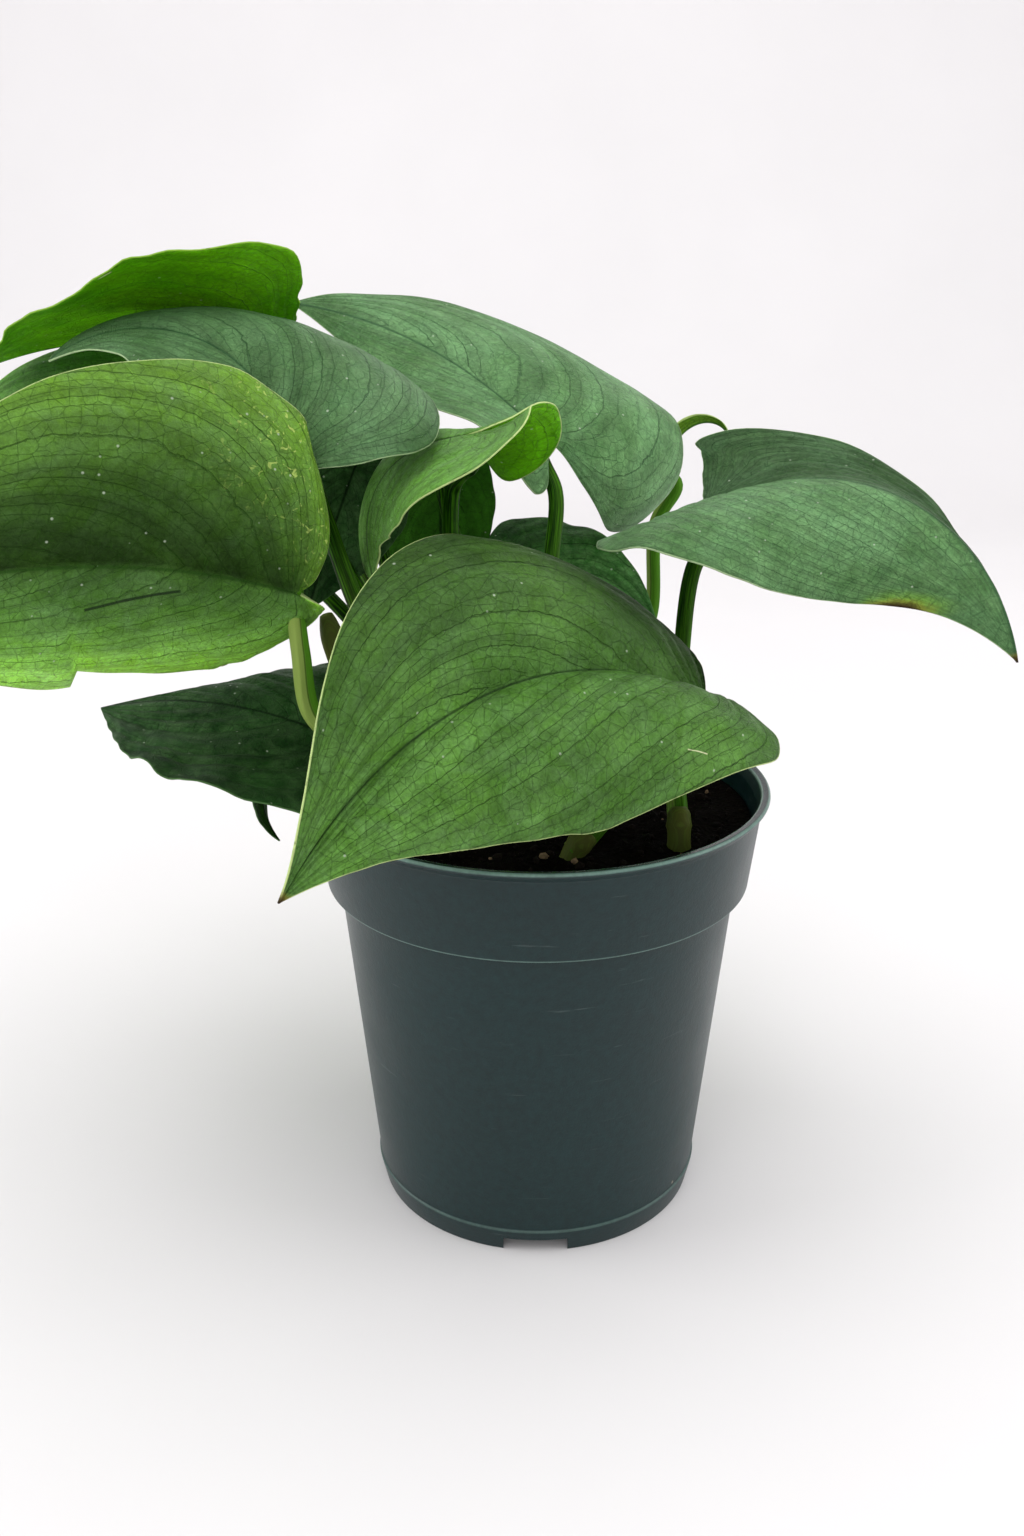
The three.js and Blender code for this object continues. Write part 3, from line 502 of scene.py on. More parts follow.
def sheet_faces(rows, halves):
    """Faces of a closed sheet: rows of quads with a fan at the stalk's end and one at the tip, the
    same on the lower side, and a rim between the two."""
    width = 2 * halves + 1
    count = (rows - 1) * width + 2
    tip = count - 1
    quads = np.array(grid_faces(rows - 1, width, 1))[:, [0, 3, 2, 1]]
    last = 1 + (rows - 2) * width
    c = np.arange(width - 1)
    fans = np.vstack([np.stack([0 * c, 1 + c, 2 + c], -1),
                      np.stack([last + c, 0 * c + tip, last + c + 1], -1)])
    first = 1 + np.arange(rows - 1) * width
    loop = np.concatenate([[0], first, [tip], first[::-1] + width - 1])
    after = np.roll(loop, -1)
    rim = np.stack([loop, count + loop, count + after, after], -1)
    faces = quads.tolist() + fans.tolist() + (quads[:, ::-1] + count).tolist()
    return faces + (fans[:, ::-1] + count).tolist() + rim.tolist()


def blade_mesh(leaf, detail, rows, halves):
    """A closed sheet over rays that run from the rib to the margin. The middle surface is the bent
    blade, raised along its normal between the side veins by half a wave each, sunk along the rib
    and fluttered at the margin. Its two faces lie half a thickness to either side, and the lower
    one bulges along the rib. Returns points, faces and the attributes that the material reads."""
    rib = rib_points(leaf)
    t = np.linspace(0, 1, rows + 1)[:, None] * np.ones((1, 2 * halves + 1))
    column = np.arange(-halves, halves + 1)[None] * np.ones((rows + 1, 1))
    side = np.where(column < 0, -1, 1)
    v = np.abs(column) / halves
    x, y, edge = flat_places(leaf, detail, t, v, side)
    here, normal = blade_normals(leaf, rib, x, y, v, side)
    share = np.clip(x / leaf["length"], 0, 1)
    size = leaf["length"] / 100
    seed = detail["seed"]
    # Side veins leave the rib at a low angle and run on, all but level with the margin, to the tip.
    phase = detail["veins"] * (t - detail["sweep"] * v ** 1.05) + 0.02 * side
    phase = phase + 0.2 * np.sin(2.3 * phase + seed + side)
    quilt = np.abs(np.sin(math.pi * phase)) * np.clip(v * 5, 0, 1) * np.clip((1 - v) * 5, 0, 1)
    groove = np.exp(-(y / (0.9 * size)) ** 2)
    flutter = np.where(side < 0, bumps(t, seed + 7, 5, 3, 9), bumps(t, seed + 8, 5, 3, 9))
    ease = np.clip(t * 6, 0, 1) * np.clip((1 - t) * 6, 0, 1)
    relief = detail["quilt"] * size * quilt * ease
    relief = relief - 0.45 * size * groove * np.clip(1.1 - share, 0, 1)
    relief = relief + detail["flutter"] * flutter * v ** 4 * ease
    relief = relief + 0.25 * size * bumps(t * 3 + side * v, seed + 3, 5, 1, 4) * ease * v
    middle = here + normal * relief[..., None]
    half = 0.26 - 0.09 * v ** 3
    ridge = 1.25 * size * np.exp(-(y / (1.25 * size)) ** 2) * np.clip(1 - share, 0, 1) ** 0.9
    upper = middle + normal * half[..., None]
    lower = middle - normal * (half + ridge)[..., None]

    def once(values):
        """One point for the stalk's end, then the rows, then one for the tip."""
        flat = values.reshape(rows + 1, 2 * halves + 1, -1)
        inner = flat[1:-1].reshape(-1, flat.shape[-1])
        return np.vstack([flat[0, halves], inner, flat[-1, halves]])

    marks, scar = blade_marks(leaf, detail, x, y, edge, t, v, side)
    place = np.stack([x, y * side, np.full_like(x, seed * 37.0)], -1)
    veins = np.stack([phase, v, edge], -1)
    attributes = {key: np.vstack([once(values)] * 2) for key, values in (
        ("place", place), ("veins", veins), ("marks", marks), ("scar", scar))}
    points = np.vstack([once(upper), once(lower)])
    attributes["face"] = np.repeat([1.0, 0.0], len(points) // 2)
    # The tint carries painted light and shade: on the halves, along the rib and on the margins.
    tint = once(blade_tint_and_shade(detail, y, v, side, share))[:, 0]
    attributes["tint"] = np.concatenate([tint, tint * detail["under"]])
    return points, sheet_faces(rows, halves), attributes


def leaf_material(name, look):
    """Living leaf, grown: a satin cuticle over mottled tissue. Dark thin side veins run to the tip
    between paler fields, with painted light beside one vein and painted shade beside the next,
    a net of fine veins, greyer patches, white specks and a thin pale margin. The underside is
    brighter and yellower, partly its own colour and partly painted light shining through. The tint
    attribute brings in painted light and shade. Patterns are in millimetres on the flat blade, read
    from the mesh: place along and across, vein phase, share and distance of the margin."""
    upper, upper_two, under, under_two, vein, margin = (linear(c) for c in LOOKS[look])
    material, tree = new_material(name)
    place = add_node(tree, "Attribute", out="Vector", attribute_name="place")
    veins = add_node(tree, "Attribute", out="Vector", attribute_name="veins")
    marks = add_node(tree, "Attribute", out="Vector", attribute_name="marks")
    face = add_node(tree, "Attribute", out="Fac", attribute_name="face")
    tint = add_node(tree, "Attribute", out="Fac", attribute_name="tint")
    lane = add_node(tree, "SeparateXYZ", {0: veins}).node.outputs
    spot = add_node(tree, "SeparateXYZ", {0: place}).node.outputs
    mark = add_node(tree, "SeparateXYZ", {0: marks}).node.outputs
    # Broad tones 20 mm across, mottling of 3 to 6 mm, and surface cells, drawn 0.8 mm wide so that
    # they show.
    broad = add_node(tree, "TexNoise", {
        "Vector": place, "Scale": 0.045, "Detail": 3.0, "Roughness": 0.6})
    mottle = add_node(tree, "TexNoise", {
        "Vector": place, "Scale": 0.2, "Detail": 4.0, "Roughness": 0.65, "Distortion": 0.8})
    grain = add_node(tree, "TexNoise", {
        "Vector": place, "Scale": 1.25, "Detail": 4.0, "Roughness": 0.78})
    tone = add_node(tree, "MapRange", {0: broad, 1: 0.36, 2: 0.64}, interpolation_type="SMOOTHSTEP")
    top = add_node(tree, "Mix", {0: tone, 6: upper, 7: upper_two}, data_type="RGBA")
    low = add_node(tree, "Mix", {0: tone, 6: under, 7: under_two}, data_type="RGBA")
    base = add_node(tree, "Mix", {0: face, 6: low, 7: top}, data_type="RGBA")
    # Towards some margins the blade is yellower and lighter, partly as younger, thinner tissue and
    # partly as painted light where a cupped rim catches the light; round a singe it is scorched
    # yellow.
    young = add_node(tree, "Mix", {0: mark[2], 6: base, 7: linear("#84b62c")}, data_type="RGBA")
    # The vein lanes waver a little. Two weaker veins run between each two.
    lanes = add_node(tree, "Math", {0: mottle, 1: 0.22, 2: lane[0]}, operation="MULTIPLY_ADD")
    gap = add_node(tree, "Math", {0: lanes, 1: 0.5}, operation="PINGPONG")
    line = add_node(tree, "MapRange", {
        0: gap, 1: 0.004, 2: 0.02, 3: 1.0, 4: 0.0}, interpolation_type="SMOOTHSTEP")
    thirds = add_node(tree, "Math", {0: lanes, 1: 3.0}, operation="MULTIPLY")
    third = add_node(tree, "Math", {0: thirds, 1: 0.5}, operation="PINGPONG")
    weak = add_node(tree, "MapRange", {
        0: third, 1: 0.012, 2: 0.05, 3: 0.5, 4: 0.0}, interpolation_type="SMOOTHSTEP")
    broken = add_node(tree, "MapRange", {0: broad, 1: 0.38, 2: 0.6, 3: 0.35, 4: 1.0})
    drawn = add_node(tree, "Math", {0: line, 1: weak}, operation="MAXIMUM")
    vein_line = add_node(tree, "Math", {0: drawn, 1: broken}, operation="MULTIPLY")
    # The tissue between two veins is raised, and painted light and shade make it paler beside one
    # vein and darker beside the next.
    turns = add_node(tree, "Math", {0: lanes, 1: 2 * math.pi}, operation="MULTIPLY")
    wave = add_node(tree, "Math", {0: turns}, operation="SINE")
    rise = add_node(tree, "MapRange", {0: wave, 1: -1.0, 2: 1.0, 3: 0.88, 4: 1.14})
    patch = add_node(tree, "MapRange", {0: mottle, 1: 0.3, 2: 0.72, 3: 0.84, 4: 1.16})
    stipple = add_node(tree, "MapRange", {0: grain, 1: 0.3, 2: 0.7, 3: 0.68, 4: 1.3})
    painted_ridge_light = add_node(tree, "Math", {0: patch, 1: rise}, operation="MULTIPLY")
    shade = add_node(tree, "Math", {0: painted_ridge_light, 1: stipple}, operation="MULTIPLY")
    # The tint attribute multiplies in the painted light and shade of the halves, rib and margins.
    depth = add_node(tree, "Math", {0: shade, 1: tint}, operation="MULTIPLY")
    # Greyer patches, as of a thin bloom, 4 to 10 mm across, with soft edges.
    bloom = add_node(tree, "TexNoise", {
        "Vector": place, "Scale": 0.13, "Detail": 6.0, "Roughness": 0.7, "Distortion": 1.2})
    hazy = add_node(tree, "MapRange", {0: bloom, 1: 0.38, 2: 0.78, 3: 0.0, 4: 0.44})
    haze = add_node(tree, "Math", {0: hazy, 1: face}, operation="MULTIPLY")
    hazed = add_node(tree, "Mix", {0: haze, 6: young, 7: linear("#6f9460")}, data_type="RGBA")
    tissue_with_painted_light = add_node(tree, "VectorMath", {0: hazed, "Scale": depth}, operation="SCALE")
    # The net between the veins, in cells of about 3 mm that fade in and out.
    net = add_node(tree, "TexVoronoi", {"Vector": place, "Scale": 0.36}, feature="DISTANCE_TO_EDGE")
    net_line = add_node(tree, "MapRange", {
        0: net, 1: 0.0, 2: 0.04, 3: 1.0, 4: 0.0}, interpolation_type="SMOOTHSTEP")
    net_seen = add_node(tree, "MapRange", {0: mottle, 1: 0.4, 2: 0.6, 3: 0.12, 4: 0.46})
    netted = add_node(tree, "Math", {0: net_line, 1: net_seen}, operation="MULTIPLY")
    rib_gap = add_node(tree, "Math", {0: spot[1]}, operation="ABSOLUTE")
    rib = add_node(tree, "MapRange", {
        0: rib_gap, 1: 0.1, 2: 0.6, 3: 0.75, 4: 0.0}, interpolation_type="SMOOTHSTEP")
    dark = add_node(tree, "Math", {
        0: vein_line, 1: 0.62, 2: netted}, operation="MULTIPLY_ADD", use_clamp=True)
    darkest = add_node(tree, "Math", {0: dark, 1: rib}, operation="MAXIMUM")
    veined = add_node(tree, "Mix", {0: darkest, 6: tissue_with_painted_light, 7: vein}, data_type="RGBA")
    # White specks 0.5 mm across, about four to the square centimetre.
    dots = add_node(tree, "TexVoronoi", {"Vector": place, "Scale": 0.33}, feature="F1").node.outputs
    near = add_node(tree, "MapRange", {0: dots["Distance"], 1: 0.05, 2: 0.11, 3: 0.6, 4: 0.0})
    chosen = add_node(tree, "SeparateXYZ", {0: dots["Color"]})
    rare = add_node(tree, "Math", {0: chosen, 1: 0.62}, operation="GREATER_THAN")
    speck = add_node(tree, "Math", {0: near, 1: rare}, operation="MULTIPLY")
    specked = add_node(tree, "Mix", {0: speck, 6: veined, 7: linear("#c9d6c0")}, data_type="RGBA")
    # Pale flecks, 0.5 to 2 mm long, where the leaf has them.
    streak = add_node(tree, "TexNoise", {
        "Vector": place, "Scale": 0.5, "Detail": 1.5, "Distortion": 1.6})
    streaks = add_node(tree, "MapRange", {0: streak, 1: 0.635, 2: 0.7, 3: 0.0, 4: 0.8})
    flecks = add_node(tree, "Math", {0: streaks, 1: mark[1]}, operation="MULTIPLY")
    flecked = add_node(tree, "Mix", {0: flecks, 6: specked, 7: linear("#b9cf6c")}, data_type="RGBA")
    # A pale scratch, or a crease drawn dark as painted shade: near the line across it, and between
    # its ends along it.
    scar = add_node(tree, "SeparateXYZ", {
        0: add_node(tree, "Attribute", out="Vector", attribute_name="scar")}).node.outputs
    off_line = add_node(tree, "Math", {0: scar[0]}, operation="ABSOLUTE")
    on_line = add_node(tree, "MapRange", {
        0: off_line, 1: 0.15, 2: 0.5, 3: 0.85, 4: 0.0}, interpolation_type="SMOOTHSTEP")
    off_middle = add_node(tree, "Math", {0: scar[1], 1: 0.5, 2: 0.5}, operation="COMPARE")
    scarred = add_node(tree, "Math", {0: on_line, 1: off_middle}, operation="MULTIPLY")
    scratch_pale_crease_shaded = add_node(tree, "Mix", {
        0: scar[2], 6: linear("#0c2008"), 7: linear("#d9dcae")}, data_type="RGBA")
    marked = add_node(tree, "Mix", {0: scarred, 6: flecked, 7: scratch_pale_crease_shaded}, data_type="RGBA")
    # The margin: a pale rim about 0.25 mm wide.
    rim = add_node(tree, "MapRange", {
        0: lane[2], 1: 0.06, 2: 0.26, 3: 1.0, 4: 0.0}, interpolation_type="SMOOTHSTEP")
    rimmed = add_node(tree, "Mix", {0: rim, 6: marked, 7: margin}, data_type="RGBA")
    # Scorched tissue: straw yellow round brown.
    scorch = add_node(tree, "Math", {0: mark[0], 1: mottle}, operation="ADD")
    yellow = add_node(tree, "MapRange", {0: scorch, 1: 0.62, 2: 0.9})
    yellowed = add_node(tree, "Math", {0: yellow, 1: mark[0]}, operation="MULTIPLY", use_clamp=True)
    brown = add_node(tree, "MapRange", {0: scorch, 1: 0.95, 2: 1.15})
    browned = add_node(tree, "Math", {0: brown, 1: mark[0]}, operation="MULTIPLY", use_clamp=True)
    straw = add_node(tree, "Mix", {0: yellowed, 6: rimmed, 7: linear("#8f7a2c")}, data_type="RGBA")
    colour = add_node(tree, "Mix", {0: browned, 6: straw, 7: linear("#2e1a10")}, data_type="RGBA")
    # Veins are sunk into the upper face and stand out on the lower one.
    deep = add_node(tree, "Math", {0: net_line, 1: 0.3, 2: drawn}, operation="MULTIPLY_ADD")
    sign = add_node(tree, "MapRange", {0: face, 1: 0.0, 2: 1.0, 3: 0.7, 4: -1.0})
    carved = add_node(tree, "Math", {0: deep, 1: sign}, operation="MULTIPLY")
    height = add_node(tree, "Math", {0: grain, 1: 1.1, 2: carved}, operation="MULTIPLY_ADD")
    bump = add_node(tree, "Bump", {"Strength": 0.9, "Distance": 0.0005, "Height": height})
    sheen = add_node(tree, "MapRange", {0: mottle, 1: 0.3, 2: 0.75, 3: 0.5, 4: 0.34})
    shine = 0.08 if look == "dark" else 0.17
    gloss = add_node(tree, "MapRange", {0: tint, 1: 0.1, 2: 1.0, 3: 0.0, 4: shine})
    shader = add_node(tree, "BsdfPrincipled", {
        "Base Color": colour, "Roughness": sheen, "Normal": bump, "IOR": 1.43,
        "Specular IOR Level": gloss})
    add_node(tree, "OutputMaterial", {0: shader})
    return material


# Shoots


def smooth_path(points):
    """A smooth curve through points, sampled every 0.8 mm or so: a cubic between each two, whose
    slopes come from the square roots of the distances to the neighbours."""
    p = np.asarray(points, float)
    p = np.vstack([2 * p[0] - p[1], p, 2 * p[-1] - p[-2]])
    u = np.linspace(0, 1, 40, endpoint=False)[:, None]
    parts = []
    for a, b, c, d in zip(p[:-3], p[1:-2], p[2:-1], p[3:]):
        r, s, q = (np.linalg.norm(k - j) ** 0.5 for j, k in ((a, b), (b, c), (c, d)))
        first = ((b - a) / r - (c - a) / (r + s) + (c - b) / s) * s
        second = ((c - b) / s - (d - b) / (s + q) + (d - c) / q) * s
        parts.append(b + first * u + (3 * (c - b) - 2 * first - second) * u ** 2
                     + (2 * (b - c) + first + second) * u ** 3)
    curve = np.vstack(parts + [p[-2:-1]])
    run = np.r_[0, np.cumsum(np.linalg.norm(np.diff(curve, axis=0), axis=1))]
    even = np.linspace(0, run[-1], max(8, int(run[-1] / 0.8)))
    return np.stack([np.interp(even, run, curve[:, k]) for k in range(3)], -1), even


def path_frames(path, hint):
    """Along, side and out at each point. Out starts towards the hint and is carried along the path,
    each time made square to the new direction."""
    along = np.gradient(path, axis=0)
    along /= np.linalg.norm(along, axis=1, keepdims=True)
    out = np.empty_like(along)
    last = np.asarray(hint, float)
    for i, direction in enumerate(along):
        last = last - direction * (last @ direction)
        last /= np.linalg.norm(last)
        out[i] = last
    return along, np.cross(along, out), out


def tube_mesh(points, radius, hint, wings=0.0, sheath=0.4):
    """A closed tube round a smooth path. The radius is a function of the share of the length. Two
    lips stand up beside a shallow groove on the side of the hint, highest near the foot and gone
    at the sheath's end. Returns points, faces and a place: round, along and share of the length."""
    sides = 28
    path, run = smooth_path(points)
    share = run / run[-1]
    along, side, out = path_frames(path, hint)
    angle = np.linspace(0, 2 * math.pi, sides, endpoint=False)[None]
    size = radius(share)[:, None]
    off = np.abs((angle + math.pi) % (2 * math.pi) - math.pi)
    lips = np.clip(1 - share / sheath, 0, 1)[:, None] ** 0.5 * wings
    reach = size * (1 - 0.16 * np.exp(-(off / 0.45) ** 2))
    reach = reach + lips * np.exp(-((off - 0.75) / 0.2) ** 2)
    reach = reach * (1 + 0.012 * np.sin(7 * angle + share[:, None] * 5))
    ring = path[:, None] + out[:, None] * (np.cos(angle) * reach)[..., None]
    ring = ring + side[:, None] * (np.sin(angle) * reach)[..., None]
    points = np.vstack([ring.reshape(-1, 3), path[:1], path[-1:]])
    place = np.stack([np.sin(angle) * size * 3, run[:, None] + 0 * angle,
                      share[:, None] + 0 * angle], -1)
    place = np.vstack([place.reshape(-1, 3), [[0, 0, 0]], [[0, run[-1], 1]]])
    return points, ring_faces(len(path), sides), place


def join(parts):
    """Tubes as one mesh. Each comes with its points, faces and places, then 1 for a vine or 0 for a
    stalk, and how far it is a pale sheath. Faces are shifted by the points before them."""
    points, groups, places, kinds, ages = zip(*parts)
    counts = [len(group) for group in points]
    starts = np.cumsum([0] + counts)
    faces = [[i + start for i in face] for start, group in zip(starts.tolist(), groups)
             for face in group]
    return np.vstack(points), faces, {
        "place": np.vstack(places), "kind": np.repeat(np.array(kinds, float), counts),
        "young": np.repeat(np.array(ages, float), counts)}


def stalk_points(stalk):
    """The stalk's points, then a knee under the blade, the joint, and a short run under the rib."""
    leaf = next(leaf for leaf in LEAVES if leaf["name"] == stalk["leaf"])
    along, _, up = rib_frame(leaf, np.zeros(1))
    joint = np.array(leaf["at"], float)
    knee = joint - 5 * up[0] - along[0]
    end = joint - 0.9 * up[0] + 0.6 * along[0]
    return [*stalk["points"], knee, end]


def shoot_mesh(shoot):
    """The vine stem, its radius raised by a bell curve at each node, and each leaf stalk: thick and
    winged at its foot, slimmer above, and swollen by a bell curve under the blade. A groove faces
    away from the blade unless the leaf says where."""
    def stem_radius(share):
        rings = sum(np.exp(-((share - node) / 0.035) ** 2) for node in (0.3, 0.55, 0.8))
        return 2.75 + 0.35 * rings - 1.2 * np.clip((share - 0.9) / 0.1, 0, 1) ** 2

    def stalk_radius(share):
        knee = np.exp(-((share - 0.93) / 0.045) ** 2)
        return 2.35 - 0.45 * np.clip(share / 0.5, 0, 1) + 0.3 * knee

    parts = [(*tube_mesh(shoot["stem"], stem_radius, (1, 0, 0)), 1, 0)]
    for stalk in shoot["stalks"]:
        points = stalk_points(stalk)
        hint = np.array(points[-1], float) - np.array(points[0], float)
        hint = hint * (1, 1, 0) + (0.01, 0.02, 0.3)
        detail = {**PLAIN, **DETAILS[stalk["leaf"]]}
        sheath = detail["sheath"]
        groove = -hint if detail["groove"] is None else detail["groove"]
        pale = sheath if detail["pale"] is None else detail["pale"]
        tube = tube_mesh(points, stalk_radius, groove, 0.8 + 0.8 * sheath, 0.45 + 0.4 * sheath)
        parts.append((*tube, 0, pale))
    return join(parts)


def stem_material(name):
    """Living stem, grown: smooth and nearly matt, dark green with paler fibre lines that run along
    it, yellower where a sheath wraps it, and browner on the old vine. Painted light makes one side
    lighter, and painted shade darkens the sheath's groove."""
    material, tree = new_material(name)
    place = add_node(tree, "Attribute", out="Vector", attribute_name="place")
    kind = add_node(tree, "Attribute", out="Fac", attribute_name="kind")
    young = add_node(tree, "Attribute", out="Fac", attribute_name="young")
    spot = add_node(tree, "SeparateXYZ", {0: place}).node.outputs
    # Fibres 0.6 mm apart and some 12 mm long.
    stretched = add_node(tree, "Mapping", {"Vector": place, "Scale": (1.0, 0.05, 0.0)})
    fibre = add_node(tree, "TexNoise", {
        "Vector": stretched, "Scale": 1.6, "Detail": 3.0, "Roughness": 0.6})
    blotch = add_node(tree, "TexNoise", {"Vector": place, "Scale": 0.12, "Detail": 3.0})
    lines = add_node(tree, "MapRange", {
        0: fibre, 1: 0.42, 2: 0.66}, interpolation_type="SMOOTHSTEP")
    green = add_node(tree, "Mix", {
        0: lines, 6: linear("#0c2604"), 7: linear("#38690e")}, data_type="RGBA")
    foot = add_node(tree, "MapRange", {
        0: spot[2], 1: 0.05, 2: 0.5, 3: 0.28, 4: 0.0}, interpolation_type="SMOOTHSTEP")
    wrapped = add_node(tree, "Math", {0: foot, 1: young}, operation="MAXIMUM")
    # The sheath is pale. Painted light makes it paler on one side and greener on the other, and
    # painted shade darkens a line along its groove, and the same line on the far side.
    lit_side = add_node(tree, "MapRange", {
        0: spot[0], 1: -1.2, 2: 1.6}, interpolation_type="SMOOTHSTEP")
    sheath = add_node(tree, "Mix", {
        0: lit_side, 6: linear("#9cb45c"), 7: linear("#4f8420")}, data_type="RGBA")
    off_groove = add_node(tree, "Math", {0: spot[0]}, operation="ABSOLUTE")
    groove = add_node(tree, "MapRange", {
        0: off_groove, 1: 0.2, 2: 1.1, 3: 0.7, 4: 0.0}, interpolation_type="SMOOTHSTEP")
    groove_shaded = add_node(tree, "Mix", {0: groove, 6: sheath, 7: linear("#2c4c10")}, data_type="RGBA")
    # Painted light: one side of a bare stalk is a little lighter.
    side_lit = add_node(tree, "Math", {0: lit_side, 1: 0.15}, operation="MULTIPLY")
    lit_and_shaded_green = add_node(tree, "Mix", {
        0: side_lit, 6: green, 7: linear("#5c8c2c")}, data_type="RGBA")
    sheathed = add_node(tree, "Mix", {0: wrapped, 6: lit_and_shaded_green, 7: groove_shaded}, data_type="RGBA")
    old = add_node(tree, "Mix", {
        0: blotch, 6: linear("#2c3a1a"), 7: linear("#6b6a34")}, data_type="RGBA")
    aged = add_node(tree, "Math", {0: kind, 1: 0.75}, operation="MULTIPLY")
    colour = add_node(tree, "Mix", {0: aged, 6: sheathed, 7: old}, data_type="RGBA")
    bump = add_node(tree, "Bump", {"Strength": 0.4, "Distance": 0.0002, "Height": fibre})
    gloss = add_node(tree, "MapRange", {0: blotch, 1: 0.3, 2: 0.7, 3: 0.36, 4: 0.5})
    shader = add_node(tree, "BsdfPrincipled", {
        "Base Color": colour, "Roughness": gloss, "Normal": bump, "IOR": 1.43,
        "Specular IOR Level": 0.04})
    add_node(tree, "OutputMaterial", {0: shader})
    return material


# Pot and soil


def round_corners(profile, radius, steps=4):
    """A profile of (radius, height) corners, each replaced by a short curve: for a corner between
    its two neighbours, a quadratic curve that starts and ends a set distance from it."""
    out = []
    p = np.asarray(profile, float)
    for i, corner in enumerate(p):
        if i in (0, len(p) - 1):
            out.append(corner)
            continue
        before, after = p[i - 1] - corner, p[i + 1] - corner
        cut = [min(radius, 0.45 * np.linalg.norm(side)) / np.linalg.norm(side)
               for side in (before, after)]
        a, b = corner + before * cut[0], corner + after * cut[1]
        for s in np.linspace(0, 1, steps + 1):
            out.append(a * (1 - s) ** 2 + 2 * corner * s * (1 - s) + b * s ** 2)
    return np.array(out)


def lathe_mesh(profile, sides):
    """A surface of revolution: each profile point, a radius and a height, turned about Z in equal
    steps. The profile's ends lie on the axis and close as fans."""
    angle = np.linspace(0, 2 * math.pi, sides, endpoint=False)
    ring = profile[1:-1]
    points = np.stack([ring[:, :1] * np.cos(angle), ring[:, :1] * np.sin(angle),
                       ring[:, 1:] + 0 * angle], -1)
    ends = [[0, 0, profile[0, 1]], [0, 0, profile[-1, 1]]]
    return np.vstack([points.reshape(-1, 3), ends]), ring_faces(len(ring), sides)


def wall_profile(pot, inset):
    """Radius and height of the wall's inner face from the floor to just under the rim."""
    wall, step = pot.wall / MM, pot.collar_bottom / MM
    bottom, body, collar = pot.foot_radius / MM + 1, pot.body_radius / MM, pot.collar_radius / MM
    return [(bottom - wall - inset, FLOOR_TOP + 2), (body - wall - inset, step - wall),
            (collar - wall - inset, step + wall),
            (COLLAR_TOP_RADIUS - wall - inset, pot.height / MM - 3)]


